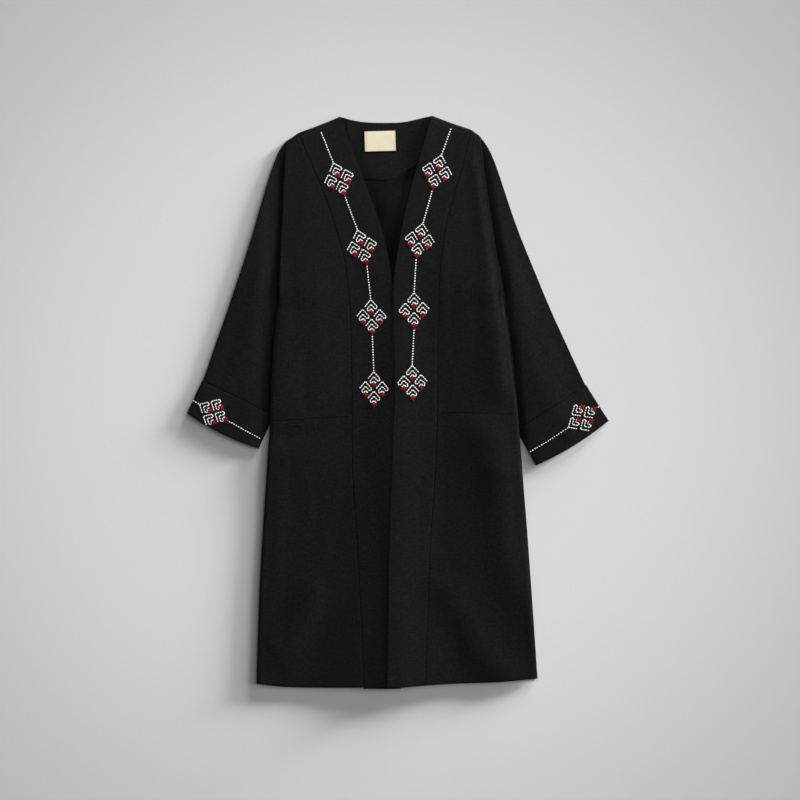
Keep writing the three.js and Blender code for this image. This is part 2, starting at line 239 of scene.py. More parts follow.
@dataclass(frozen=True)
class Resize:
    """A small change of a piece: the share of its size kept about a middle, and its way down, in mm."""

    middle: Row
    share: float
    down: float

    def apply(self, points: np.ndarray) -> None:
        """Moves points, in metres, in place."""
        middle = np.array((self.middle[0], self.middle[1] + SHIFT_Y)) * MM
        points[:, :2] = middle + (points[:, :2] - middle) * self.share - (0.0, self.down * MM)


@dataclass(frozen=True)
class Tuck:
    """A strip of cloth beside a course, drawn across by some mm between two places in y."""

    course: Course
    across: float
    reach: float
    top: float
    bottom: float
    ease: float = 20.0

    def shift(self, at: np.ndarray) -> np.ndarray:
        """Gives how far points are drawn across.

        Args:
            at: Rows of x and y, in mm.

        Returns:
            The shift of each point along x, in mm.
        """
        gap = measure_from(self.course, at)[0]
        here = smoothstep(self.bottom - self.ease, self.bottom, at[:, 1])
        here *= 1.0 - smoothstep(self.top, self.top + self.ease, at[:, 1])
        return self.across * np.exp(-((gap / self.reach) ** 2)) * here


@dataclass(frozen=True)
class SideRise:
    """How far a side of the body rises over its tucked sleeve, in mm.

    It has its full height, the places in y where it starts, is full, is last full and is flat again, and the
    distances from the side between which it fades inward.
    """

    side: Side
    height: float
    span: tuple[float, float, float, float]
    fade: tuple[float, float]

    def relief(self, at: np.ndarray) -> np.ndarray:
        """Gives the rise at points.

        Args:
            at: Rows of x and y, in mm.

        Returns:
            The height at each point, in mm.
        """
        start, full, last, flat = self.span
        down = smoothstep(-start, -full, -at[:, 1]) * (1.0 - smoothstep(-last, -flat, -at[:, 1]))
        inward = inside_of(self.side, at)
        return self.height * down * (1.0 - smoothstep(*self.fade, inward))


@dataclass(frozen=True)
class EasedRise:
    """The change from the solid's steep rise to a lower and longer one."""

    solid: SideRise
    eased: SideRise

    def relief(self, at: np.ndarray) -> np.ndarray:
        """Gives the change of height at points."""
        return self.eased.relief(at) - self.solid.relief(at)


def body_side(side: Side) -> Course:
    """The body's edge from the shoulder to the hem."""
    return ARMHOLE[side] + SIDE_SEAM[side][1:]


def inside_of(side: Side, at: np.ndarray) -> np.ndarray:
    """Measures how far points lie inside the body's edge, below 0 outside it, in mm."""
    gap = measure_from(body_side(side), at)[0]
    return gap if side is Side.LEFT else -gap


# ---- creases, folds and soft shades, in mm ----
FRONT_CREASES: dict[Side, tuple[Crease, ...]] = {
    Side.LEFT: (
        Crease(((-150, -340), (-165, -380), (-203, -447), (-231, -493), (-271, -530)), (30, 36), 3.0),
        Crease(((-282, -487), (-258, -498), (-235, -520)), (9, 12), -1.0),
        Crease(((-185, 160), (-187, 40), (-182, -60)), (9, 12), -0.5, 0.35),
        Crease(((-150, 330), (-158, 180), (-150, 40)), (14, 20), 0.5, 0.35),
        Crease(((-215, 330), (-205, 180), (-214, 20)), (12, 16), -0.4, 0.35),
        Crease(((-236, -90), (-232, -260), (-242, -420)), (18, 26), 1.0, 0.35),
        Crease(((-165, -100), (-158, -220), (-172, -340)), (12, 18), -0.5, 0.4),
    ),
    Side.RIGHT: (
        Crease(((152, 520), (168, 403), (176, 323), (180, 243), (189, 163), (195, 83), (200, -22)),
               (12, 36), (3.1, 4.0), 0.12, (14, 42)),
        Crease(((90, -330), (96, -367), (117, -417), (140, -457), (159, -497), (200, -537), (245, -580)),
               (34, 40), 3.9, 0.2, (28, 34)),
        Crease(((91, 363), (92, 240), (90, 130)), (7, 8), 0.5, 0.35),
        Crease(((128, 300), (132, 160), (126, 20)), (12, 16), 0.5, 0.35),
        Crease(((70, -90), (84, -230), (76, -380)), (14, 20), -0.6, 0.35),
    ),
}
# The lap of the two fronts rises toward the right one's edge, more and wider toward the hem.
LAP = Crease(((-9, 250), (-5, 43), (-10, -75), (-18, -317), (-21, -566), (-22, -700)), (70, 156),
             (1.0, 11.8), 0.12, (16, 182), True)
# The body's sides lift off the floor below the pockets, both layers together.
SIDE_FOLDS: dict[Side, Crease] = {
    Side.LEFT: Crease(((-262, -60), (-266, -197), (-275, -317), (-280, -437), (-284, -640)), (48, 56),
                      (3.0, 4.6), 0.16, None, True),
    Side.RIGHT: Crease(((150, -5), (168, -57), (185, -97), (200, -177), (205, -257), (210, -297), (222, -337),
                        (242, -377), (266, -417), (292, -460), (330, -520)), (36, 60), 5.6, 0.14, (50, 46)),
}
# The right lapel stands up along its edge.
COLLAR = Crease(((67, 600), (55, 521), (36, 463), (12, 375), (-3, 289), (-9, 150)), (56, 50), 1.8, 0.2,
                (20, 20), True)
# The back swells a little in the V, and the facing's right end lifts off it.
NECK_SWELL = Crease(((-24, 500), (-12, 443), (-8, 383), (-4, 323), (-8, 243), (-10, 160)), (30, 20),
                    (5.2, 1.6), 0.2, (40, 18))
FACING_LIFT = Crease(((14, 446), (34, 462), (62, 486)), (12, 16), (0.4, 2.6), 0.1)
# Deep shade: at the bottom of the V, under the left lapel, and under the facing's right end.
V_SHADE = (
    Crease(((-8, 450), (-8, 383), (-12, 343), (-14, 283), (-12, 200)), (30, 24), (0.0, 1.6), 0.1),
    Crease(((-98, 528), (-84, 497), (-72, 468), (-61, 443), (-53, 420), (-37, 380), (-27, 345)), (12, 11),
           (0.3, 0.95), 0.15),
    Crease(((-14, 435), (1, 439), (21, 449), (42, 462)), (6, 9), (0.7, 1.1), 0.12, (7, 10)),
)
# The sides of the body keep level to their edges.
LEVEL: dict[Side, Crease] = {
    Side.LEFT: Crease(((-232, 300), *SIDE_SEAM[Side.LEFT], (-283, -640)), (11, 11), 0.5, 0.1),
    Side.RIGHT: Crease(((199, 300), *SIDE_SEAM[Side.RIGHT], (283, -640)), (14, 14), 1.2, 0.1),
}
# The left front comes up level with the right one's edge where they meet.
MEETING = Crease(((-8, 310), (-9, 223), (-5, 43), (-10, -75), (-16, -240)), (40, 40), 0.9, 0.15,
                 (55, 55), True)
# The body's sides shade the sleeves close beside them, down to the cuffs, and are dim at their own rims.
SLEEVE_SHADE: dict[Side, Crease] = {
    Side.LEFT: Crease(body_side(Side.LEFT)[:6], (9.5, 5), 1.4, 0.08),
    Side.RIGHT: Crease(body_side(Side.RIGHT)[:6], (10, 9), 1.5, 0.08),
}
RIM_SHADE: dict[Side, Crease] = {
    Side.LEFT: Crease(((-235.2, 268), (-237, 240), (-238, 205), (-242, 170)), (3.4, 3.4), 1.0, 0.25),
    Side.RIGHT: Crease((*body_side(Side.RIGHT), (283, -640)), (3, 3), 0.6, 0.05),
}
SLEEVE_CREASES: dict[Side, tuple[Crease, ...]] = {
    Side.LEFT: (
        Crease(((-318, 160), (-336, 100), (-352, 30)), (10, 14), -0.8, 0.3),
        Crease(((-262, 300), (-285, 200), (-300, 90)), (13, 18), 0.7, 0.3),
        Crease(((-250, 420), (-262, 330), (-272, 240)), (9, 12), -0.6, 0.35),
        Crease(((-300, 330), (-318, 250), (-330, 190)), (9, 12), 0.5, 0.35),
    ),
    Side.RIGHT: (
        Crease(((262, 160), (286, 90), (312, 10)), (11, 15), -0.6, 0.3),
        Crease(((218, 330), (246, 220), (262, 110)), (13, 18), 0.7, 0.3),
        Crease(((205, 430), (222, 330), (232, 240)), (9, 12), -0.4, 0.35),
        Crease(((250, 290), (276, 220), (296, 150)), (10, 13), 0.5, 0.35),
    ),
}
# The right sleeve's outer fold.
OUTER_FOLD: Course = ((170, 524), (196, 478), (375, 33), (416, -20))


# ---- shader node helpers ----
Made = dict[str, bpy.types.NodeSocket]


class NodeBench:
    """Adds and joins the nodes of one tree."""

    def __init__(self, tree: bpy.types.NodeTree) -> None:
        """Takes the tree to work on."""
        self.tree = tree

    def add(self, kind: str, **settings: object) -> bpy.types.Node:
        """Adds a node.

        Args:
            kind: The node's type.
            **settings: Its settings by name.

        Returns:
            The node.
        """
        node = self.tree.nodes.new(kind)
        for name, value in settings.items():
            setattr(node, name, value)
        return node

    def feed(self, socket: bpy.types.NodeSocket, value: object) -> None:
        """Fills an input.

        Args:
            socket: The input socket.
            value: A value, or another node's output to join to it.
        """
        if isinstance(value, bpy.types.NodeSocket):
            self.tree.links.new(value, socket)
        else:
            socket.default_value = value

    def math(self, operation: str, *values: object, clamp: bool = False) -> bpy.types.NodeSocket:
        """Adds a Math node.

        Args:
            operation: The node's operation.
            *values: Numbers or output sockets, in the order of its inputs.
            clamp: Whether the result stays from 0 to 1.

        Returns:
            The node's output.
        """
        node = self.add("ShaderNodeMath", operation=operation, use_clamp=clamp)
        for socket, value in zip(node.inputs, values):
            self.feed(socket, value)
        return node.outputs[0]

    def bell(self, distance: object, width: object) -> bpy.types.NodeSocket:
        """Makes a mask that is 1 at distance 0 and falls away over a width."""
        share = self.math("DIVIDE", distance, width)
        return self.math("EXPONENT", self.math("MULTIPLY", self.math("MULTIPLY", share, share), -1.0))

    def swing(self, base: object, pattern: object, gain: float) -> bpy.types.NodeSocket:
        """Adds a pattern's swing about one half, times a gain, to a base, and keeps it from 0 to 1."""
        return self.math("MULTIPLY_ADD", self.math("SUBTRACT", pattern, 0.5), gain, base, clamp=True)

    def mix(self, share: object, first: object, second: object) -> bpy.types.NodeSocket:
        """Mixes two colours.

        Args:
            share: The second colour's share.
            first: A colour or an output.
            second: A colour or an output.

        Returns:
            The mixed colour.
        """
        node = self.add("ShaderNodeMix", data_type="RGBA")
        self.feed(node.inputs[0], share)
        for socket, value in zip((node.inputs[6], node.inputs[7]), (first, second)):
            self.feed(socket, (*value, 1.0) if isinstance(value, tuple) and len(value) == 3 else value)
        return node.outputs[2]

    def attribute(self, name: str) -> bpy.types.NodeSocket:
        """Reads a number that is stored at each point of the piece."""
        return self.add("ShaderNodeAttribute", attribute_name=name).outputs["Fac"]

    def map_of(self, name: str) -> bpy.types.NodeSocket:
        """Reads one of the piece's own UV maps."""
        return self.add("ShaderNodeUVMap", uv_map=name).outputs[0]

    def place(self) -> bpy.types.NodeSocket:
        """Reads the place on the piece."""
        return self.add("ShaderNodeTexCoord").outputs["Object"]

    def axes(self, vector: object) -> bpy.types.NodeOutputs:
        """Splits a vector.

        Args:
            vector: The vector.

        Returns:
            Its parts along each axis.
        """
        split = self.add("ShaderNodeSeparateXYZ")
        self.feed(split.inputs[0], vector)
        return split.outputs

    def noise(self, vector: object, scale: float, detail: float = 2.0) -> bpy.types.NodeSocket:
        """Adds soft noise.

        Args:
            vector: The coordinates.
            scale: How fine it is.
            detail: How many finer layers it has.

        Returns:
            The noise, about one half.
        """
        node = self.add("ShaderNodeTexNoise")
        self.feed(node.inputs["Vector"], vector)
        self.feed(node.inputs["Scale"], scale)
        self.feed(node.inputs["Detail"], detail)
        return node.outputs[0]

    def stretched(self, vector: object, scale: tuple[float, float, float]) -> bpy.types.NodeSocket:
        """Stretches a pattern's coordinates.

        Args:
            vector: The coordinates.
            scale: The scale along each axis.

        Returns:
            The stretched coordinates.
        """
        node = self.add("ShaderNodeMapping")
        self.feed(node.inputs["Vector"], vector)
        self.feed(node.inputs["Scale"], scale)
        return node.outputs[0]

    def bump(self, height: object, distance: float, strength: float = 1.0,
             normal: object = None) -> bpy.types.NodeSocket:
        """Adds a Bump node.

        Args:
            height: The relief.
            distance: How high a relief of 1 stands, in metres.
            strength: The share of it that is used.
            normal: Another Bump node's output, to go on from.

        Returns:
            The normal.
        """
        node = self.add("ShaderNodeBump")
        self.feed(node.inputs["Height"], height)
        self.feed(node.inputs["Distance"], distance)
        self.feed(node.inputs["Strength"], strength)
        if normal is not None:
            self.feed(node.inputs["Normal"], normal)
        return node.outputs[0]


class EffectGroup:
    """A shader node group that several finishes place with their own values."""

    name = "Effect"
    inputs: tuple[tuple[str, str], ...] = ()
    outputs: tuple[tuple[str, str], ...] = ()

    def __init__(self) -> None:
        """Makes the group with its sockets and its nodes."""
        self.tree = bpy.data.node_groups.new(self.name, "ShaderNodeTree")
        for way, sockets in (("INPUT", self.inputs), ("OUTPUT", self.outputs)):
            for name, kind in sockets:
                self.tree.interface.new_socket(name=name, in_out=way, socket_type=f"NodeSocket{kind}")
        bench = NodeBench(self.tree)
        source, sink = bench.add("NodeGroupInput"), bench.add("NodeGroupOutput")
        for name, value in self.compose(bench, source.outputs).items():
            bench.feed(sink.inputs[name], value)

    def compose(self, bench: NodeBench, given: bpy.types.NodeOutputs) -> Made:
        """Builds the nodes between the group's inputs and outputs."""
        raise NotImplementedError

    def place(self, bench: NodeBench, **values: object) -> bpy.types.NodeOutputs:
        """Places the group in a material.

        Args:
            bench: The material's tree.
            **values: What each named input is given.

        Returns:
            The placed group's outputs.
        """
        node = bench.add("ShaderNodeGroup", node_tree=self.tree)
        for name, value in values.items():
            bench.feed(node.inputs[name], value)
        return node.outputs


class PlainWeave(EffectGroup):
    """Yarns that cross over and under each other, from 0 between them to 1 on their crowns."""

    name = "plain_weave"
    inputs = (("Vector", "Vector"), ("Pitch", "Float"))
    outputs = (("Height", "Float"), ("Gap", "Float"))
    drift_scale = 160.0
    crown_share = 0.3
    crossing_share = 0.4

    def compose(self, bench: NodeBench, given: bpy.types.NodeOutputs) -> Made:
        """Builds the crossing yarns, a little uneven.

        Args:
            bench: The group's tree.
            given: Its inputs.

        Returns:
            What goes to each output.
        """
        axes = bench.axes(given["Vector"])
        drift = bench.noise(given["Vector"], self.drift_scale)
        waves = []
        for axis in (0, 1):
            turns = bench.math("ADD", bench.math("DIVIDE", axes[axis], given["Pitch"]), drift)
            waves.append(bench.math("SINE", bench.math("MULTIPLY", turns, math.pi)))
        crossing = bench.math("MULTIPLY", *waves)
        crowns = bench.math("ADD", *(bench.math("ABSOLUTE", wave) for wave in waves))
        height = bench.math("ADD", bench.math("MULTIPLY", crowns, self.crown_share),
                            bench.math("MULTIPLY", crossing, self.crossing_share))
        gap = bench.math("SUBTRACT", 1.0, bench.math("MULTIPLY", crowns, 0.5), clamp=True)
        return {"Height": height, "Gap": gap}


class Slubs(EffectGroup):
    """Thicker and paler runs of yarn along the cloth's width, with fainter ones along its length."""

    name = "slubs"
    inputs = (("Vector", "Vector"),)
    outputs = (("Value", "Float"), ("Fuzz", "Float"), ("Heather", "Float"))
    across_scale = (60.0, 460.0, 460.0)
    across_share = 0.7
    down_scale = (480.0, 70.0, 70.0)
    down_share = 0.3
    fuzz_scale = 1500.0
    heather_scale = 220.0

    def compose(self, bench: NodeBench, given: bpy.types.NodeOutputs) -> Made:
        """Builds the streaks, the fine fuzz and the flecks.

        Args:
            bench: The group's tree.
            given: Its inputs.

        Returns:
            What goes to each output.
        """
        across = bench.noise(bench.stretched(given["Vector"], self.across_scale), 1.0, 3.0)
        down = bench.noise(bench.stretched(given["Vector"], self.down_scale), 1.0, 2.0)
        fuzz = bench.noise(given["Vector"], self.fuzz_scale, 2.0)
        heather = bench.noise(given["Vector"], self.heather_scale, 1.0)
        streaks = bench.math("ADD", bench.math("MULTIPLY", across, self.across_share),
                             bench.math("MULTIPLY", down, self.down_share))
        return {"Value": streaks, "Fuzz": fuzz, "Heather": heather}


class SewnEdge(EffectGroup):
    """The fine groove and the pucker of a seam, by the distance to it and the way along it, in mm. The groove
    is also the mask of the painted shade in the seam.
    """

    name = "sewn_edge"
    inputs = (("Distance", "Float"), ("Along", "Float"))
    outputs = (("Height", "Float"), ("Groove", "Float"))
    groove_width = 1.1
    pucker_width = 5.0
    ripples_per_mm = 0.11
    ripple_height = 1.6

    def compose(self, bench: NodeBench, given: bpy.types.NodeOutputs) -> Made:
        """Builds the groove and the ripples that cross it.

        Args:
            bench: The group's tree.
            given: Its inputs.

        Returns:
            What goes to each output.
        """
        groove = bench.bell(given["Distance"], self.groove_width)
        beside = bench.bell(given["Distance"], self.pucker_width)
        wander = bench.add("ShaderNodeTexNoise", noise_dimensions="1D")
        bench.feed(wander.inputs["W"], bench.math("MULTIPLY", given["Along"], self.ripples_per_mm))
        ripple = bench.math("MULTIPLY", bench.math("SUBTRACT", wander.outputs[0], 0.5), self.ripple_height)
        height = bench.math("SUBTRACT", bench.math("MULTIPLY", ripple, beside), groove)
        return {"Height": height, "Groove": groove}


class Effects:
    """The node groups, each built once."""

    def __init__(self) -> None:
        """Builds the groups."""
        self.weave = PlainWeave()
        self.slubs = Slubs()
        self.seam = SewnEdge()

    def seam_of(self, bench: NodeBench) -> bpy.types.NodeOutputs:
        """Places the sewn edge by the piece's own seam distances."""
        return self.seam.place(bench, Distance=bench.attribute("seam"), Along=bench.attribute("seam_along"))


@dataclass(frozen=True)
class Sheen:
    """The soft edge light of a fibre surface."""

    weight: float
    roughness: float


def principled(name: str, roughness: float, specular: float,
               sheen: Sheen) -> tuple[bpy.types.Material, NodeBench, bpy.types.Node]:
    """Starts a material with its shader.

    Args:
        name: The material's name.
        roughness: The shader's roughness.
        specular: The shader's specular level.
        sheen: The shader's sheen.

    Returns:
        The material, its tree's bench and its shader node.
    """
    material = bpy.data.materials.new(name)
    material.use_nodes = True
    shader = material.node_tree.nodes["Principled BSDF"]
    shader.inputs["Roughness"].default_value = roughness
    shader.inputs["Specular IOR Level"].default_value = specular
    shader.inputs["Sheen Weight"].default_value = sheen.weight
    shader.inputs["Sheen Roughness"].default_value = sheen.roughness
    return material, NodeBench(material.node_tree), shader


@dataclass(frozen=True)
class ClothFinish:
    """Matt black wool blend in a plain weave, with slubs across it and grooves at its seams. Painted shade
    darkens it between its yarns, in its seam grooves, at its slits and in its shade masks.
    """

    name: str = "black_wool_blend"
    dark: Colour = (0.0034, 0.0034, 0.0035)
    pale: Colour = (0.0092, 0.0092, 0.0093)
    # The colour of painted shade, toward which the cloth is darkened.
    groove: Colour = (0.0008, 0.0008, 0.0008)
    pitch: float = 0.0007
    roughness: float = 0.92
    specular: float = 0.06
    sheen: Sheen = Sheen(0.02, 0.5)
    # How far painted shade darkens the slit lines: the pocket mouths and the cuff lines.
    slit: float = 0.75
    slit_width: float = 0.8
    blotch_scale: float = 9.0
    middle_tone: float = 0.45
    slub_tone: float = 2.6
    blotch_tone: float = 0.45
    heather_tone: float = 1.9
    gap_shade: float = 0.5
    groove_shade: float = 0.55
    groove_fades: float = -0.00045
    seam_relief: float = 0.35
    slit_relief: float = 0.5
    slub_relief: float = 0.16
    yarn_relief: float = 0.05
    fuzz_share: float = 0.5
    relief_used: float = 0.8

    def make(self, effects: Effects) -> bpy.types.Material:
        """Builds the material from the piece's own cloth map and its seam distances.

        Args:
            effects: The node groups.

        Returns:
            The material.
        """
        material, bench, shader = principled(self.name, self.roughness, self.specular, self.sheen)
        lie = bench.map_of("cloth")
        weave = effects.weave.place(bench, Vector=lie, Pitch=self.pitch)
        slubs = effects.slubs.place(bench, Vector=lie)
        seam = effects.seam_of(bench)
        slit = bench.math("MULTIPLY", bench.bell(bench.attribute("slit"), self.slit_width), self.slit)
        blotch = bench.noise(lie, self.blotch_scale, 3.0)
        tone = bench.swing(self.middle_tone, slubs["Value"], self.slub_tone)
        tone = bench.swing(tone, blotch, self.blotch_tone)
        tone = bench.swing(tone, slubs["Heather"], self.heather_tone)
        yarn = bench.mix(tone, self.dark, self.pale)
        # Painted shade between the yarns.
        yarn = bench.mix(bench.math("MULTIPLY", weave["Gap"], self.gap_shade), yarn, self.groove)
        # Painted shade in the seam grooves, fading down the seams, then at the slits and in the stored shade
        # mask.
        fading = bench.math("MULTIPLY_ADD", bench.attribute("seam_along"), self.groove_fades,
                            self.groove_shade, clamp=True)
        shade = bench.math("MAXIMUM", bench.math("MULTIPLY", seam["Groove"], fading), slit)
        shade = bench.math("MAXIMUM", shade, bench.attribute("shade"))
        bench.feed(shader.inputs["Base Color"], bench.mix(shade, yarn, self.groove))
        normal = bench.bump(seam["Height"], self.seam_relief * MM)
        normal = bench.bump(bench.math("MULTIPLY", slit, -1.0), self.slit_relief * MM, 1.0, normal)
        normal = bench.bump(slubs["Value"], self.slub_relief * MM, self.relief_used, normal)
        yarns = bench.math("MULTIPLY_ADD", slubs["Fuzz"], self.fuzz_share, weave["Height"])
        normal = bench.bump(yarns, self.yarn_relief * MM, self.relief_used, normal)
        bench.feed(shader.inputs["Normal"], normal)
        return material


@dataclass(frozen=True)
class LabelFinish:
    """Cream woven tape, closer than the cloth, soiled in places at random, with painted shade at its folds
    and between its yarns.
    """

    name: str = "cream_woven_tape"
    base: Colour = (0.60, 0.545, 0.40)
    # The colour of the random soiling, and of the painted shade at the folds and between the yarns.
    soil_and_shade: Colour = (0.46, 0.42, 0.31)
    pitch: float = 0.0004
    roughness: float = 0.7
    specular: float = 0.25
    sheen: Sheen = Sheen(0.1, 0.4)
    soil_scale: float = 60.0
    soil: float = 0.5
    fold_shade: float = 0.9
    gap_shade: float = 0.25
    fold_relief: float = 0.2
    yarn_relief: float = 0.05
    relief_used: float = 0.7

    def make(self, effects: Effects) -> bpy.types.Material:
        """Builds the material from the label's own map.

        Args:
            effects: The node groups.

        Returns:
            The material.
        """
        material, bench, shader = principled(self.name, self.roughness, self.specular, self.sheen)
        lie = bench.map_of("cloth")
        weave = effects.weave.place(bench, Vector=lie, Pitch=self.pitch)
        seam = effects.seam_of(bench)
        tone = bench.math("MULTIPLY", bench.noise(lie, self.soil_scale, 3.0), self.soil)
        # Painted shade at the folded ends.
        tone = bench.math("MULTIPLY_ADD", seam["Groove"], self.fold_shade, tone, clamp=True)
        base = bench.mix(tone, self.base, self.soil_and_shade)
        # Painted shade between the yarns.
        gap = bench.math("MULTIPLY", weave["Gap"], self.gap_shade)
        bench.feed(shader.inputs["Base Color"], bench.mix(gap, base, self.soil_and_shade))
        normal = bench.bump(seam["Height"], self.fold_relief * MM)
        normal = bench.bump(weave["Height"], self.yarn_relief * MM, self.relief_used, normal)
        bench.feed(shader.inputs["Normal"], normal)
        return material


@dataclass(frozen=True)
class ThreadFinish:
    """Thick soft thread of two twisted strands, with painted shade between the strands."""

    name: str
    base: Colour
    # The colour of the painted shade between the strands and of the fibre flecks.
    shade_and_fleck: Colour
    specular: float = 0.3
    sheen: Sheen = Sheen(0.15, 0.4)
    roughness: float = 0.68
    twist_per_mm: float = 0.9
    fibre_scale: float = 900.0
    strand_shade: float = 0.45
    fibre_shade: float = 0.25
    strand_relief: float = 0.25
    fibre_relief: float = 0.06
    relief_used: float = 0.6

    def make(self) -> bpy.types.Material:
        """Builds the material from the stitches' own map: along them in mm, and round them in turns.

        Returns:
            The material.
        """
        material, bench, shader = principled(self.name, self.roughness, self.specular, self.sheen)
        along, round_it = bench.axes(bench.map_of("thread"))[:2]
        turns = bench.math("ADD", bench.math("MULTIPLY", along, self.twist_per_mm), round_it)
        strand = bench.math("ABSOLUTE", bench.math("SINE", bench.math("MULTIPLY", turns, 2.0 * math.pi)))
        fibre = bench.noise(bench.place(), self.fibre_scale, 3.0)
        # Painted shade between the strands, with fibre flecks at random.
        tone = bench.math("MULTIPLY", bench.math("SUBTRACT", 1.0, strand), self.strand_shade)
        tone = bench.math("MULTIPLY_ADD", fibre, self.fibre_shade, tone, clamp=True)
        bench.feed(shader.inputs["Base Color"], bench.mix(tone, self.base, self.shade_and_fleck))
        normal = bench.bump(strand, self.strand_relief * MM)
        normal = bench.bump(fibre, self.fibre_relief * MM, self.relief_used, normal)
        bench.feed(shader.inputs["Normal"], normal)
        return material


@dataclass(frozen=True)
class FloorFinish:
    """Smooth pale grey studio paper, with a painted light falloff that makes it darker far from the middle.
    """

    name: str = "pale_studio_paper"
    base: Colour = (0.560, 0.560, 0.561)
    # The colour of the painted light falloff toward the paper's ends.
    far: Colour = (0.372, 0.372, 0.373)
    painted_falloff_radii: tuple[float, float] = (0.40, 1.3)
    roughness: float = 0.95
    specular: float = 0.1
    tooth_scale: float = 700.0
    tooth_relief: float = 0.02
    relief_used: float = 0.4

    def make(self) -> bpy.types.Material:
        """Builds the paper's painted light falloff and its fine tooth.

        Returns:
            The material.
        """
        material, bench, shader = principled(self.name, self.roughness, self.specular, Sheen(0.0, 0.5))
        place = bench.place()
        reach = bench.add("ShaderNodeVectorMath", operation="LENGTH")
        bench.feed(reach.inputs[0], place)
        share = bench.add("ShaderNodeMapRange", interpolation_type="SMOOTHSTEP")
        bench.feed(share.inputs["Value"], reach.outputs["Value"])
        for name, value in zip(("From Min", "From Max"), self.painted_falloff_radii):
            bench.feed(share.inputs[name], value)
        bench.feed(shader.inputs["Base Color"], bench.mix(share.outputs["Result"], self.base, self.far))
        tooth = bench.noise(place, self.tooth_scale, 2.0)
        bench.feed(shader.inputs["Normal"], bench.bump(tooth, self.tooth_relief * MM, self.relief_used))
        return material


# ---- cut pieces ----
@dataclass(frozen=True)
class Cut:
    """The flat cut of a piece, in metres and square metres, and what it lies on."""

    width: float
    length: float
    area: float
    rests_on: tuple[str, ...] = ()


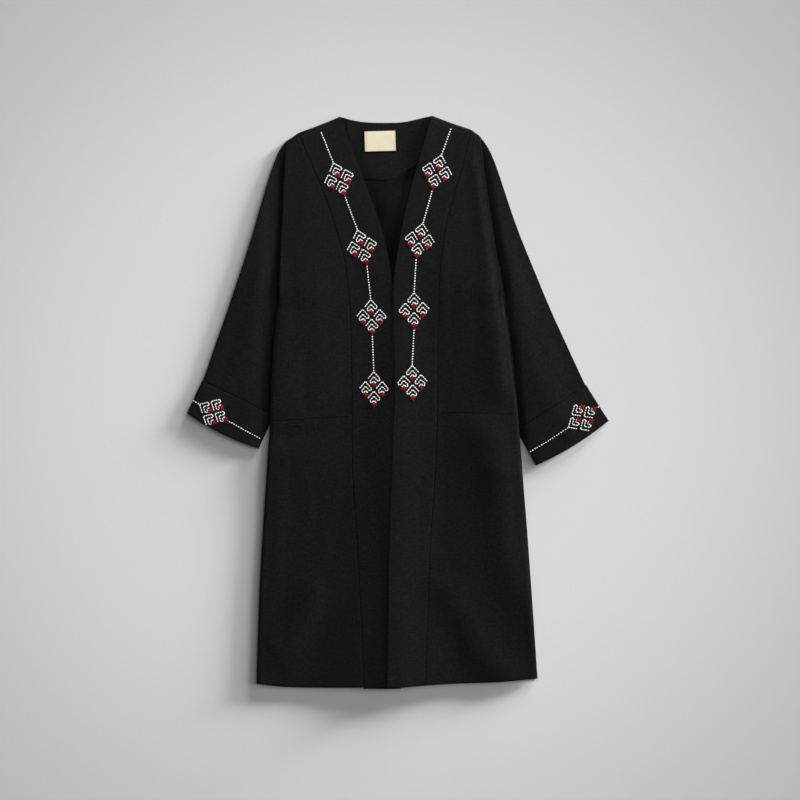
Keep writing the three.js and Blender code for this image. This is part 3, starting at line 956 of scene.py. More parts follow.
@dataclass
class ClothPiece:
    """One cut and sewn piece of cloth: a fine shell on its solid's form, its sizes in mm.

    Its relief is added to both faces of the cloth together. Where hold names a course, the cloth is held
    there and the creases fade before it; its rises and swells go on to the edges. A tube's lower layer lies
    on the floor and keeps still. A settled piece stands no more than a little proud of another one.
    """

    name: str
    node: str
    cut: Cut
    seams: tuple[Seam, ...] = ()
    creases: tuple[Crease, ...] = ()
    hold: tuple[Course, ...] = ()
    hold_reach: tuple[float, float] = (3.0, 26.0)
    grain: float = 0.0
    still_below: float | None = None
    tucks: tuple[Tuck, ...] = ()
    rises: tuple[EasedRise, ...] = ()
    swells: tuple[Crease, ...] = ()
    pressed: tuple[Pressed, ...] = ()
    resize: Resize | None = None
    lift: float = 0.0
    slit: Course | None = None
    shades: tuple[Crease, ...] = ()
    settle: tuple[str, float] | None = None
    slot: str = "cloth"
    level: int = 3
    rim_angle: float = 75.0
    corner_angle: float = 25.0
    cut_angle: float = 60.0
    edge_round: float = 0.4
    weld: float = 0.02
    still_ease: float = 3.5
    slit_near: float = 20.0
    slit_ends: float = 0.5
    wall_share: float = 0.6

    def make(self, material: bpy.types.Material) -> bpy.types.Object:
        """Args:
            material: Its finish.

        Returns:
            The piece's object.
        """
        piece = self.fine_shell()
        points = self.points_of(piece.data)
        if self.resize is not None:
            self.resize.apply(points)
        at = (points[:, :2] / MM) - (0.0, SHIFT_Y)
        for press in self.pressed:
            points[:, 2] *= press.scale(at)
        points[:, 2] += (self.relief(at, points[:, 2]) + self.lift) * MM
        points[:, 0] += sum((tuck.shift(at) for tuck in self.tucks), np.zeros(len(at))) * MM
        if self.settle is not None:
            self.settle_on(points, *self.settle)
        piece.data.vertices.foreach_set("co", points.ravel())
        piece.data.update()
        self.mark_seams(piece.data, at)
        self.lay_grain(piece.data, points)
        self.round_edges(piece.data)
        piece.data.materials.clear()
        piece.data.materials.append(material)
        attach(piece, "root")
        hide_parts(self.node)
        LOG.info("%s: %d faces", self.name, len(piece.data.polygons))
        return piece

    def fine_shell(self) -> bpy.types.Object:
        """Copies the solid's mesh and subdivides it, with its cut edges and corners kept sharp.

        Returns:
            The new object.
        """
        mesh = bpy.data.meshes.new(self.name)
        shell = bmesh.new()
        shell.from_mesh(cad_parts[self.node].data)
        bmesh.ops.remove_doubles(shell, verts=shell.verts, dist=self.weld * MM)
        bmesh.ops.join_triangles(shell, faces=shell.faces, angle_face_threshold=math.radians(35),
                                 angle_shape_threshold=math.radians(70))
        edge_mark = shell.edges.layers.float.new("crease_edge")
        corner_mark = shell.verts.layers.float.new("crease_vert")
        rims = {edge for edge in shell.edges if edge.calc_face_angle(0.0) > math.radians(self.rim_angle)}
        for edge in rims:
            edge[edge_mark] = 1.0
        for vert in shell.verts:
            beside = [edge.other_vert(vert).co - vert.co for edge in vert.link_edges if edge in rims]
            if len(beside) == 2 and beside[0].angle(-beside[1], 0.0) > math.radians(self.corner_angle):
                vert[corner_mark] = 1.0
        shell.to_mesh(mesh)
        shell.free()
        piece = bpy.data.objects.new(self.name, mesh)
        bpy.context.scene.collection.objects.link(piece)
        finer = piece.modifiers.new("finer", "SUBSURF")
        finer.levels = finer.render_levels = self.level
        fine = bpy.data.meshes.new_from_object(piece.evaluated_get(bpy.context.evaluated_depsgraph_get()))
        piece.modifiers.clear()
        piece.data = fine
        fine.name = self.name
        for name in ("crease_edge", "crease_vert"):
            if name in fine.attributes:
                fine.attributes.remove(fine.attributes[name])
        fine.polygons.foreach_set("use_smooth", np.ones(len(fine.polygons), bool))
        return piece

    @staticmethod
    def points_of(mesh: bpy.types.Mesh) -> np.ndarray:
        """Reads a mesh's points.

        Args:
            mesh: The mesh.

        Returns:
            One row for each point, in metres.
        """
        flat = np.empty(len(mesh.vertices) * 3)
        mesh.vertices.foreach_get("co", flat)
        return flat.reshape(-1, 3)

    def relief(self, at: np.ndarray, heights: np.ndarray) -> np.ndarray:
        """Adds up the creases and the seams.

        Args:
            at: Rows of x and y, in mm.
            heights: The points' heights, in metres.

        Returns:
            How far each point rises, in mm.
        """
        free = np.ones(len(at))
        for course in self.hold:
            free *= smoothstep(*self.hold_reach, np.abs(measure_from(course, at)[0]))
        rise = sum((crease.relief(at) for crease in self.creases), np.zeros(len(at))) * free
        rise += sum((seam.relief(at) for seam in self.seams), np.zeros(len(at)))
        rise += sum((form.relief(at) for form in (*self.rises, *self.swells)), np.zeros(len(at)))
        if self.still_below is not None:
            rise *= smoothstep(self.still_below, self.still_below + self.still_ease, heights / MM)
        return rise

    @staticmethod
    def settle_on(points: np.ndarray, name: str, proud: float) -> None:
        """Keeps points from standing too proud of another piece.

        Args:
            points: The points, in metres, changed in place.
            name: The other piece.
            proud: How far they may stand proud of it, in mm.
        """
        under = Ground([bpy.data.objects[name]])
        for point in points:
            found = under.under(point[0], point[1])
            if found is not None:
                point[2] = min(point[2], found[0].z + proud * MM)

    def mark_seams(self, mesh: bpy.types.Mesh, at: np.ndarray) -> None:
        """Stores the seam distances, the way along them, the slit distances and the shade at each point.

        Args:
            mesh: The piece's mesh.
            at: Its points, in mm.
        """
        nearest, way = np.full(len(at), FAR), np.zeros(len(at))
        for seam in self.seams:
            signed, along, _ = measure_from(seam.course, at)
            closer = np.abs(signed) < np.abs(nearest)
            nearest, way = np.where(closer, signed, nearest), np.where(closer, along, way)
        slit = np.full(len(at), FAR)
        if self.slit is not None:
            signed, along, length = measure_from(self.slit, at)
            inside = (along > self.slit_ends) & (along < length - self.slit_ends)
            slit = np.where(inside & (np.abs(signed) < self.slit_near), signed,
                            self.slit_near * np.where(signed < 0, -1.0, 1.0))
        # The painted shade mask, from 0 to 1.
        shade = np.clip(sum((crease.relief(at) for crease in self.shades), np.zeros(len(at))), 0.0, 1.0)
        for name, values in (("seam", nearest), ("seam_along", way), ("slit", slit), ("shade", shade)):
            stored = mesh.attributes.new(name, "FLOAT", "POINT")
            stored.data.foreach_set("value", values.astype(np.float32))

    def lay_grain(self, mesh: bpy.types.Mesh, points: np.ndarray) -> None:
        """Lays the cloth map: metres across and along the grain, carried over the thin edges.

        Args:
            mesh: The piece's mesh.
            points: Its points, in metres.
        """
        turn = math.radians(self.grain)
        x, y, rise = points[:, 0], points[:, 1], self.wall_share * points[:, 2]
        across = x * math.cos(turn) + y * math.sin(turn) + rise
        along = y * math.cos(turn) - x * math.sin(turn) + rise
        corners = np.empty(len(mesh.loops), np.int32)
        mesh.loops.foreach_get("vertex_index", corners)
        layer = mesh.uv_layers.new(name="cloth")
        layer.data.foreach_set("uv", np.column_stack((across, along))[corners].ravel())

    def round_edges(self, mesh: bpy.types.Mesh) -> None:
        """Rounds the free edges as folded cloth is, and leaves the sewn ones square.

        Args:
            mesh: The piece's mesh.
        """
        shell = bmesh.new()
        shell.from_mesh(mesh)
        for face in shell.faces:
            face.smooth = True
        sharp = [edge for edge in shell.edges if edge.calc_face_angle(0.0) > math.radians(self.cut_angle)]
        middles = np.array([(edge.verts[0].co + edge.verts[1].co)[:2] for edge in sharp]) / (2 * MM)
        gaps = [np.abs(measure_from(seam.course, middles - (0.0, SHIFT_Y))[0]) for seam in self.seams]
        sewn = np.min(gaps, axis=0) < SEWN_WITHIN if gaps else np.zeros(len(sharp), bool)
        for edge, joined in zip(sharp, sewn):
            edge.smooth = not joined
        bmesh.ops.bevel(shell, geom=[edge for edge, joined in zip(sharp, sewn) if not joined],
                        offset=self.edge_round * MM, offset_type="OFFSET", affect="EDGES", segments=2,
                        profile=0.5, material=-1, clamp_overlap=True)
        shell.to_mesh(mesh)
        shell.free()


# ---- stitches ----
class Ground:
    """The top of the cloth, found by looking straight down on the pieces."""

    ABOVE = 0.1

    def __init__(self, pieces: list[bpy.types.Object]) -> None:
        """Takes the pieces that stitches may lie on."""
        view = bpy.context.evaluated_depsgraph_get()
        self.trees = [BVHTree.FromObject(piece, view) for piece in pieces]

    def under(self, x: float, y: float) -> tuple[Vector, Vector] | None:
        """Finds the cloth under a place.

        Args:
            x: Across, in metres.
            y: Along, in metres.

        Returns:
            The point on the cloth and its normal, or None beside it.
        """
        hits = [tree.ray_cast(Vector((x, y, self.ABOVE)), Vector((0, 0, -1))) for tree in self.trees]
        hits = [(place, normal) for place, normal, _, _ in hits if place is not None]
        if not hits:
            return None
        place, normal = max(hits, key=lambda hit: hit[0].z)
        return place, normal if normal.z > 0 else -normal


@dataclass(frozen=True)
class Stitch:
    """One stitch, in mm: its middle and heading, its length, its width and how far it stands up."""

    middle: Row
    heading: Row
    length: float
    width: float
    rise: float


def row_of_stitches(start: Row, end: Row, pitch: float, length: float, width: float,
                    rise: float) -> list[Stitch]:
    """Sets stitches in a straight row, at the pitch nearest to the one asked for.

    Args:
        start: Where the row starts, in mm.
        end: Where it ends.
        pitch: The distance from one stitch to the next.
        length: Each stitch's length.
        width: Each stitch's width.
        rise: How far each stands up.

    Returns:
        The stitches.
    """
    reach = math.dist(start, end)
    heading = ((end[0] - start[0]) / reach, (end[1] - start[1]) / reach)
    count = max(1, round(reach / pitch))
    return [
        Stitch((start[0] + heading[0] * reach * (i + 0.5) / count,
                start[1] + heading[1] * reach * (i + 0.5) / count), heading, length, width, rise)
        for i in range(count)
    ]


@dataclass
class StitchWork:
    """Many stitches of one thread, joined in one piece: each a round form with that many sides and rings."""

    name: str
    stitches: list[Stitch]
    sides: int = 6
    rings: int = 5
    fullness: float = 0.62

    def pattern(self) -> tuple[np.ndarray, list[tuple[int, ...]], list[list[Row]]]:
        """Shapes one stitch with half its length and width 1.

        Returns:
            Its points, its faces and its faces' map corners.
        """
        shape = bmesh.new()
        bmesh.ops.create_uvsphere(shape, u_segments=self.sides, v_segments=self.rings, radius=1.0)
        for vert in shape.verts:
            round_at, along = vert.co.copy(), vert.co.z
            girth = max(math.hypot(round_at.x, round_at.y), 1e-9)
            fuller = girth ** self.fullness / girth
            vert.co = (along, round_at.x * fuller, round_at.y * fuller) if girth > 1e-6 else (along, 0, 0)
        shape.normal_update()
        bmesh.ops.recalc_face_normals(shape, faces=shape.faces)
        verts = sorted(shape.verts, key=lambda vert: tuple(vert.co))
        order = {vert: index for index, vert in enumerate(verts)}
        faces = sorted(self.from_lowest([order[vert] for vert in face.verts]) for face in shape.faces)
        points = np.array([vert.co for vert in verts])
        corners = [[(x, math.atan2(z, y) / (2 * math.pi)) for x, y, z in points[list(face)].tolist()]
                   for face in faces]
        shape.free()
        return points, faces, corners

    @staticmethod
    def from_lowest(ring: list[int]) -> tuple[int, ...]:
        """Turns a face's ring of indices so that the lowest is first, the same on every run."""
        first = ring.index(min(ring))
        return tuple(ring[first:] + ring[:first])

    def make(self, ground: Ground, material: bpy.types.Material, slot: str) -> bpy.types.Object:
        """Lays the stitches on the cloth.

        Args:
            ground: The cloth.
            material: The thread's finish.
            slot: The record's slot; not used.

        Returns:
            The piece's object.
        """
        points, faces, corners = self.pattern()
        laid, maps, count = [], [], 0
        for stitch in self.stitches:
            found = ground.under(stitch.middle[0] * MM, (stitch.middle[1] + SHIFT_Y) * MM)
            if found is None:
                continue
            place, up = found
            ahead = Vector((*stitch.heading, 0.0))
            ahead = (ahead - up * ahead.dot(up)).normalized()
            beside = up.cross(ahead)
            axes = np.array([ahead * stitch.length, beside * stitch.width, up * stitch.rise * 2]) * (MM / 2)
            laid.append(points @ axes + np.array(place))
            maps.extend((u * stitch.length / 2, v) for face in corners for u, v in face)
            count += 1
        mesh = bpy.data.meshes.new(self.name)
        whole = [tuple(index + step * len(points) for index in face)
                 for step in range(count) for face in faces]
        mesh.from_pydata(np.concatenate(laid), [], whole)
        layer = mesh.uv_layers.new(name="thread")
        layer.data.foreach_set("uv", np.array(maps).ravel())
        mesh.polygons.foreach_set("use_smooth", np.ones(len(mesh.polygons), bool))
        mesh.materials.append(material)
        mesh.update()
        piece = bpy.data.objects.new(self.name, mesh)
        bpy.context.scene.collection.objects.link(piece)
        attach(piece, "root")
        LOG.info("%s: %d stitches, %d faces", self.name, count, len(mesh.polygons))
        return piece


@dataclass(frozen=True)
class Lozenge:
    """One lozenge of four hooked units, charted on a slanting grid.

    It has its apex, the grid's two steps, and its threads' sizes in mm. UNIT is one hook's course on the
    grid, UNITS are the four units' places, STARS are the stars' places in them, and FOOT is where the line
    goes on.
    """

    apex: Row
    right_step: Row
    left_step: Row
    thread_width: float = 2.1
    thread_rise: float = 1.0
    stitch: float = 5.0
    stitch_share: float = 0.76
    petal: float = 6.1
    petal_width: float = 3.2
    petal_rise: float = 2.3
    petal_out: float = 0.47

    UNIT = ((0, 3), (0, 0), (3, 0), (3, 1), (1, 1), (1, 3), (1.88, 3), (1.85, 1.85), (3.0, 1.88))
    UNITS = ((0, 0), (4, 0), (0, 4), (4, 4))
    STARS = ((2.70, 2.72), (2.72, 2.72), (2.72, 2.72), (2.75, 2.75))
    FOOT = (7.4, 7.4)

    def place(self, u: float, v: float) -> Row:
        """Finds a chart place on the cloth, in mm."""
        return (self.apex[0] + self.right_step[0] * u + self.left_step[0] * v,
                self.apex[1] + self.right_step[1] * u + self.left_step[1] * v)

    @property
    def foot(self) -> Row:
        """Gives where the line goes on, below the last star."""
        return self.place(*self.FOOT)

    def white(self) -> list[Stitch]:
        """Charts the hooks.

        Returns:
            Their stitches.
        """
        made = []
        for unit_u, unit_v in self.UNITS:
            for start, end in zip(self.UNIT[:-1], self.UNIT[1:]):
                a = self.place(start[0] + unit_u, start[1] + unit_v)
                b = self.place(end[0] + unit_u, end[1] + unit_v)
                pitch = math.dist(a, b) / max(1, round(math.dist(a, b) / self.stitch))
                made += row_of_stitches(a, b, pitch, pitch * self.stitch_share, self.thread_width,
                                        self.thread_rise)
        return made

    def crimson(self) -> list[Stitch]:
        """Charts the four-petalled star at the foot of each unit.

        Returns:
            Its petals, one stitch each.
        """
        down = Vector(self.place(1, 1)) - Vector(self.apex)
        across = Vector(self.place(1, -1)) - Vector(self.apex)
        made = []
        for (unit_u, unit_v), (star_u, star_v) in zip(self.UNITS, self.STARS):
            star = Vector(self.place(star_u + unit_u, star_v + unit_v))
            for way in (down.normalized(), across.normalized()):
                for sign in (1, -1):
                    middle = star + way * (sign * self.petal * self.petal_out)
                    made.append(Stitch(tuple(middle), tuple(way), self.petal, self.petal_width,
                                       self.petal_rise))
        return made


@dataclass(frozen=True)
class EmbroideredLine:
    """A running stitch line that joins lozenges, in mm: its start, its lozenges in order, and its end."""

    start: Row
    lozenges: tuple[Lozenge, ...]
    end: Row | None = None
    sag: float = 0.0
    thread_width: float = 2.7
    thread_rise: float = 0.9
    pitch: float = 5.1
    stitch_share: float = 0.54

    def run(self, start: Row, end: Row) -> list[Stitch]:
        """Sews from one point to another, sagging a little between them where the line does.

        Args:
            start: Where the run starts, in mm.
            end: Where it ends.

        Returns:
            Its stitches.
        """
        middle = ((start[0] + end[0]) / 2 + self.sag * 0.5, (start[1] + end[1]) / 2 - self.sag)
        stops = (start, middle, end) if self.sag else (start, end)
        return [stitch for a, b in zip(stops[:-1], stops[1:])
                for stitch in row_of_stitches(a, b, self.pitch, self.pitch * self.stitch_share,
                                              self.thread_width, self.thread_rise)]

    def white(self) -> list[Stitch]:
        """Sews the line and the hooks.

        Returns:
            Their stitches.
        """
        made, last = [], self.start
        for lozenge in self.lozenges:
            made += self.run(last, lozenge.apex) + lozenge.white()
            last = lozenge.foot
        return made + (self.run(last, self.end) if self.end else [])

    def crimson(self) -> list[Stitch]:
        """Sews the stars."""
        return [stitch for lozenge in self.lozenges for stitch in lozenge.crimson()]


EMBROIDERY = (
    EmbroideredLine((-153.4, 536.5), (
        Lozenge((-128.3, 474.0), (5.65, -3.22), (-2.54, -5.78)),
        Lozenge((-80.4, 340.5), (5.42, -3.73), (-2.93, -5.70)),
        Lozenge((-54.3, 202.4), (4.44, -4.79), (-4.02, -4.80)),
        Lozenge((-48.1, 59.0), (4.17, -4.87), (-4.10, -4.76)))),
    EmbroideredLine((105.8, 543.5), (
        Lozenge((86.2, 489.5), (-5.40, -3.77), (2.97, -5.64)),
        Lozenge((49.4, 353.6), (-5.09, -4.07), (3.27, -5.42)),
        Lozenge((31.7, 216.0), (-4.33, -5.15), (4.35, -4.60)),
        Lozenge((28.1, 71.5), (-4.15, -5.03), (4.36, -4.54)))),
    EmbroideredLine((-409, 3), (Lozenge((-394.6, -5.7), (5.78, 1.43), (1.96, -5.94), 2.0),),
                    (-273.6, -74.2), thread_width=2.2),
    EmbroideredLine((261.4, -100.6), (Lozenge((338.6, -51.5), (1.81, 6.36), (6.01, -0.92), 2.0),),
                    (404, -9), 1.2, 2.1),
)


# ---- the garment ----
# How the solid's sides rise over the sleeves, and how the cloth's do, in mm: their full heights, the places
# in y where a rise starts, is full, is last full and is flat again, and both fades inward, the solid's first.
SOLID_RISE, EASED_RISE = 8.9, 4.3
SOLID_SPAN = {Side.LEFT: (232, 178, -54, -116), Side.RIGHT: (230, 176, -82, -150)}
EASED_SPAN = {Side.LEFT: (340, 190, -50, -230), Side.RIGHT: (340, 188, -78, -260)}
FRONT_FADE = ((30.0, 135.0), (20.0, 160.0))
BACK_FADE = ((42.0, 84.0), (42.0, 110.0))


@dataclass(frozen=True)
class HalfFit:
    """How the cloth of one half lies where the halves differ: angles in degrees, the rest in mm.

    It has the grain of the sleeve and of the cuff, the armhole's depth, reach and puff, how far from the
    body's edge the sleeve is pressed, how far it is drawn across there and at its cuff seam, and the side
    front's cut area, in square metres, and the roundness of its edge.
    """

    sleeve_grain: float
    cuff_grain: float
    armhole_roll: tuple[float, float, float]
    pressed_reach: float
    underarm_tuck: float
    cuff_tuck: float
    front_area: float
    edge_round: float


HALF_FIT = {
    Side.LEFT: HalfFit(-18.0, -26.0, (0.2, 2.0, 0.0), 46.0, 5.0, -0.7, 0.169, 0.4),
    Side.RIGHT: HalfFit(24.0, 33.0, (0.2, 2.4, 0.0), 18.0, -5.0, 0.6, 0.167, 0.25),
}


@dataclass
class Manteau:
    """The whole garment: its cut pieces, its label, its topstitching and its embroidery."""

    cloth: bpy.types.Material
    tape: bpy.types.Material
    threads: dict[Thread, bpy.types.Material]
    row_offset: float = 2.6
    edge_offset: float = 6.0
    facing_offset: float = 3.0
    row_pitch: float = 3.6
    row_share: float = 0.72
    row_width: float = 0.6
    row_rise: float = 0.12
    welt_sink: float = -1.3
    welt_proud: float = 0.12
    pressed_share: float = 0.48

    @staticmethod
    def eased(side: Side, fade: tuple[tuple[float, float], tuple[float, float]]) -> EasedRise:
        """Lowers and lengthens the solid's rise over the sleeve, with its own fade and an eased one."""
        return EasedRise(SideRise(side, SOLID_RISE, SOLID_SPAN[side], fade[0]),
                         SideRise(side, EASED_RISE, EASED_SPAN[side], fade[1]))

    def body(self, side: Side) -> list[ClothPiece]:
        """Describes one half of the front, its sleeve, its cuff and its pocket welt.

        Args:
            side: Which half.

        Returns:
            Its pieces, in the order in which they are made.
        """
        left, name, fit = side is Side.LEFT, side.value, HALF_FIT[side]
        edge, closed = body_side(side), (SIDE_SEAM[side], ARMHOLE[side])
        princess, shoulder = Seam(PRINCESS[side], 0.1, 1.6, 0.04), Seam(SHOULDER[side], 0.2)
        cuff_seam = Seam(CUFF_SEAM[side], 0.1, 1.8, 0.0)
        rises = (self.eased(side, FRONT_FADE),)
        pressed = (Pressed(edge, self.pressed_share, (-1.0, fit.pressed_reach)),)
        drawn_in, band_swells, band_tucks = (), (LAP, MEETING), ()
        if not left:
            pressed += (Pressed(OUTER_FOLD, 0.22, (2.0, 92.0)),)
            drawn_in = tuple(Tuck(edge, across, 12.0, top=top, bottom=44.0, ease=60.0)
                             for across, top in ((-1.9, 450.0), (-1.5, 205.0)))
            band_swells = (LAP, SIDE_FOLDS[side], COLLAR)
            band_tucks = (Tuck(FRONT_EDGE[side], -1.2, 6.0, top=262.0, bottom=20.0),)
        return [
            ClothPiece(
                f"front_side_panel_{name}", f"front_side_{name}",
                Cut(0.225, 1.10, fit.front_area, ("back_panel",)),
                (princess, Seam(ARMHOLE[side], *fit.armhole_roll), shoulder),
                FRONT_CREASES[side], closed, slit=POCKET_MOUTH[side], rises=rises,
                swells=(LAP, SIDE_FOLDS[side], LEVEL[side]), shades=(RIM_SHADE[side],),
                tucks=drawn_in, edge_round=fit.edge_round),
            ClothPiece(
                f"front_band_panel_{name}", f"front_band_{name}",
                Cut(0.15, 1.14, 0.097, ("back_panel",)), (princess, shoulder),
                FRONT_CREASES[side], (FRONT_EDGE[side],), slit=POCKET_MOUTH[side], rises=rises,
                swells=band_swells, tucks=band_tucks),
            ClothPiece(
                f"sleeve_cloth_{name}", f"sleeve_{name}", Cut(0.46, 0.43, 0.09),
                (Seam(ARMHOLE[side], 0.4, 3.0, 0.0), cuff_seam),
                SLEEVE_CREASES[side], closed, grain=fit.sleeve_grain, still_below=2.0,
                slit=CUFF_LINE[side], shades=(SLEEVE_SHADE[side],), pressed=pressed,
                tucks=(Tuck(edge, fit.underarm_tuck, 12.0, top=196.0, bottom=140.0),
                       Tuck(CUFF_SEAM[side], fit.cuff_tuck, 8.0, top=60.0, bottom=-80.0), *drawn_in)),
            ClothPiece(
                f"cuff_cloth_{name}", f"cuff_{name}", Cut(0.33, 0.085, 0.0265),
                (cuff_seam,), grain=fit.cuff_grain, still_below=2.2,
                slit=CUFF_LINE[side], shades=(SLEEVE_SHADE[side],), pressed=pressed),
            ClothPiece(
                f"pocket_welt_cloth_{name}", f"pocket_welt_{name}", Cut(0.115, 0.01, 0.001),
                creases=FRONT_CREASES[side], hold=closed, rises=rises,
                swells=(LAP, SIDE_FOLDS[side]), lift=self.welt_sink, edge_round=0.3,
                settle=(f"front_side_panel_{name}", self.welt_proud)),
        ]

    def back(self) -> list[ClothPiece]:
        """Describes the back and its neck facing.

        Returns:
            The two pieces, in the order in which they are made.
        """
        return [
            ClothPiece("back_panel", "back", Cut(0.56, 1.135, 0.54),
                       rises=tuple(self.eased(side, BACK_FADE) for side in Side),
                       swells=(NECK_SWELL, *SIDE_FOLDS.values()), shades=V_SHADE),
            ClothPiece("back_neck_facing_cloth", "back_neck_facing", Cut(0.2, 0.12, 0.014, ("back_panel",)),
                       swells=(NECK_SWELL, FACING_LIFT), shades=V_SHADE[1:2], lift=-0.4, corner_angle=50.0,
                       edge_round=0.3),
        ]

    def label(self) -> ClothPiece:
        """Describes the bare neck label with its folded ends.

        Returns:
            The piece.
        """
        ends = (((-63.7, 543), (-62.9, 499)), ((-7.4, 543), (-8.4, 499)))
        return ClothPiece("neck_label_tape", "neck_label",
                          Cut(0.066, 0.043, 0.0028, ("back_neck_facing_cloth",)),
                          tuple(Seam(end, 0.3, 0.8, 0.0) for end in ends), slot="label", edge_round=0.25,
                          swells=(NECK_SWELL,), resize=Resize((-35.6, 523.0), 0.925, 2.6))

    def topstitching(self) -> list[Stitch]:
        """Sews the rows beside the princess seams, along the front edges and the facing.

        Returns:
            Their stitches.
        """
        rows = [(PRINCESS[side], offset) for side in Side for offset in (-self.row_offset, self.row_offset)]
        rows += [(FRONT_EDGE[Side.LEFT], -self.edge_offset), (FRONT_EDGE[Side.RIGHT], self.edge_offset),
                 (FACING_EDGE, self.facing_offset)]
        made = []
        for course, offset in rows:
            line = np.asarray(course, float)
            for start, end in zip(line[:-1], line[1:]):
                ahead = (end - start) / np.hypot(*(end - start))
                shift = offset * np.array((-ahead[1], ahead[0]))
                made += row_of_stitches(tuple(start + shift), tuple(end + shift), self.row_pitch,
                                        self.row_pitch * self.row_share, self.row_width, self.row_rise)
        return made

    def make(self) -> list[bpy.types.Object]:
        """Builds every piece in order.

        Returns:
            All the pieces.
        """
        inside = [piece.make(self.cloth) for piece in self.back()]
        label = self.label().make(self.tape)
        outside = [piece.make(self.cloth) for side in Side for piece in self.body(side)]
        top = Ground([*outside, inside[-1]])
        sewn = []
        for thread in Thread:
            stitches = [stitch for line in EMBROIDERY for stitch in
                        (line.white() if thread is Thread.WHITE else line.crimson())]
            work = StitchWork(f"embroidery_{thread.name.lower()}", stitches)
            sewn.append(work.make(top, self.threads[thread], thread.value))
        rows = StitchWork("topstitching", self.topstitching(), sides=5, rings=3)
        sewn.append(rows.make(top, self.cloth, "cloth"))
        return [*inside, label, *outside, *sewn]


# ---- the studio ----
class Lit(Enum):
    """What a lamp lights; the rest still casts its shadow in that light."""

    FLOOR = "floor"
    GARMENT = "garment"
    WHITE_THREAD = "white thread"
    ALL = "all"


@dataclass(frozen=True)
class Lamp:
    """One lamp: its bearing from +X and its height over the floor in degrees, how broad it is, and its power.

    A lamp without a reach shines from far away: its breadth is in degrees and its energy is what falls on
    the floor. One with a reach is a round box that many metres from the middle, with its breadth in metres.
    """

    name: str
    lights: Lit
    azimuth: float
    elevation: float
    breadth: float
    energy: float
    reach: float | None = None
    hangs: float = 5.0

    def make(self, things: dict[Lit, list[bpy.types.Object]]) -> None:
        """Hangs the lamp and keeps its light to what it lights.

        Args:
            things: The objects of each kind.
        """
        around, up = math.radians(self.azimuth), math.radians(self.elevation)
        toward = Vector((math.cos(around) * math.cos(up), math.sin(around) * math.cos(up), math.sin(up)))
        if self.reach is None:
            light = bpy.data.lights.new(self.name, "SUN")
            light.energy, light.angle = self.energy / math.sin(up), math.radians(self.breadth)
        else:
            light = bpy.data.lights.new(self.name, "AREA")
            light.shape, light.size, light.energy = "DISK", self.breadth, self.energy
        lamp = bpy.data.objects.new(self.name, light)
        lamp.rotation_euler = (-toward).to_track_quat("-Z", "Y").to_euler()
        lamp.location = toward * (self.reach or self.hangs)
        bpy.context.scene.collection.objects.link(lamp)
        if self.lights in things:
            lit = bpy.data.collections.new(f"{self.name}_lights")
            for thing in things[self.lights]:
                lit.objects.link(thing)
            lamp.light_linking.receiver_collection = lit


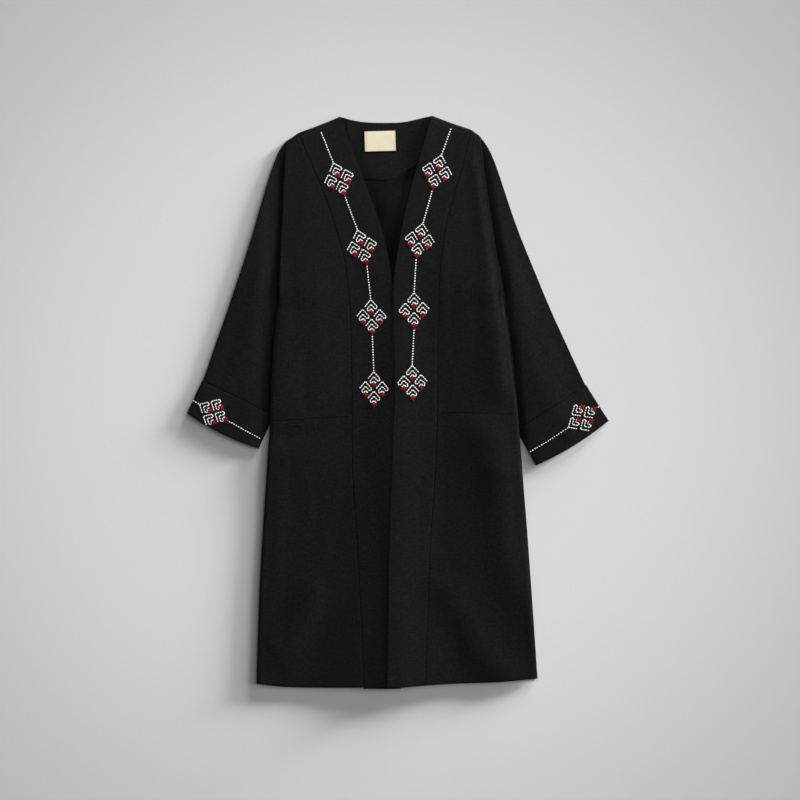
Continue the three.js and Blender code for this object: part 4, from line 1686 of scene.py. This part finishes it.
@dataclass(frozen=True)
class Studio:
    """The floor, the lamps and the camera straight above.

    Low, broad lamps draw the garment's long soft shadow on the floor. One from the right rakes over the
    cloth, a box above the neck lights it from the top, and one more picks out the white thread.
    """

    floor_size: float = 9.0
    floor_drop: float = 0.2
    camera_place: tuple[float, float, float] = (0.004, 0.0035, 4.0)
    lens: float = 90.36
    sensor: float = 36.0
    sees_to: float = 100.0
    air_colour: tuple[float, float, float, float] = (1.0, 1.0, 1.0, 1.0)
    air_strength: float = 0.1
    lamps: tuple[Lamp, ...] = (
        Lamp("floor_low", Lit.FLOOR, 33.0, 4.2, 12.0, 1.5),
        Lamp("floor_middle", Lit.FLOOR, 62.0, 8.0, 18.0, 0.9),
        Lamp("floor_side", Lit.FLOOR, 5.0, 20.0, 30.0, 0.5),
        Lamp("fill", Lit.ALL, 25.0, 60.0, 60.0, 0.62),
        Lamp("raking", Lit.GARMENT, 25.0, 9.0, 26.0, 1.75),
        Lamp("top_box", Lit.GARMENT, 95.0, 25.0, 1.4, 58.0, 2.6),
        Lamp("thread_glint", Lit.WHITE_THREAD, 60.0, 65.0, 20.0, 0.85),
    )

    def make(self, garment: list[bpy.types.Object]) -> None:
        """Sets up the floor, the world, the lamps and the camera.

        Args:
            garment: The garment's pieces.
        """
        white = [thing for thing in garment if thing.name == "embroidery_white"]
        things = {Lit.FLOOR: [self.floor()], Lit.GARMENT: garment, Lit.WHITE_THREAD: white}
        world = bpy.data.worlds.new("studio_air")
        world.use_nodes = True
        air = world.node_tree.nodes["Background"]
        air.inputs["Color"].default_value = self.air_colour
        air.inputs["Strength"].default_value = self.air_strength
        bpy.context.scene.world = world
        for lamp in self.lamps:
            lamp.make(things)
        camera = bpy.data.cameras.new("overhead_camera")
        camera.lens, camera.sensor_width, camera.clip_end = self.lens, self.sensor, self.sees_to
        eye = bpy.data.objects.new("overhead_camera", camera)
        eye.location = self.camera_place
        bpy.context.scene.collection.objects.link(eye)
        bpy.context.scene.camera = eye
        bpy.context.scene.view_settings.view_transform = "Standard"

    def floor(self) -> bpy.types.Object:
        """Lays the floor just under the garment.

        Returns:
            The floor.
        """
        mesh = bpy.data.meshes.new("studio_floor")
        sheet = bmesh.new()
        bmesh.ops.create_grid(sheet, x_segments=2, y_segments=2, size=self.floor_size / 2)
        bmesh.ops.translate(sheet, verts=sheet.verts, vec=(0.0, 0.0, -self.floor_drop * MM))
        sheet.to_mesh(mesh)
        sheet.free()
        mesh.materials.append(FloorFinish().make())
        floor = bpy.data.objects.new("studio_floor", mesh)
        bpy.context.scene.collection.objects.link(floor)
        return floor


def main() -> None:
    """Builds the garment and the studio."""
    logging.basicConfig(level=logging.INFO, format="%(name)s: %(message)s")
    effects = Effects()
    garment = Manteau(
        cloth=ClothFinish().make(effects),
        tape=LabelFinish().make(effects),
        threads={
            Thread.WHITE: ThreadFinish("white_thread", (0.90, 0.90, 0.89), (0.6, 0.6, 0.59)).make(),
            Thread.CRIMSON: ThreadFinish("crimson_thread", (0.27, 0.006, 0.014), (0.12, 0.002, 0.005), 0.1,
                                         Sheen(0.0, 0.4)).make(),
        },
    ).make()
    Studio().make(garment)
    bpy.context.view_layer.update()


if __name__ == "__main__":
    main()
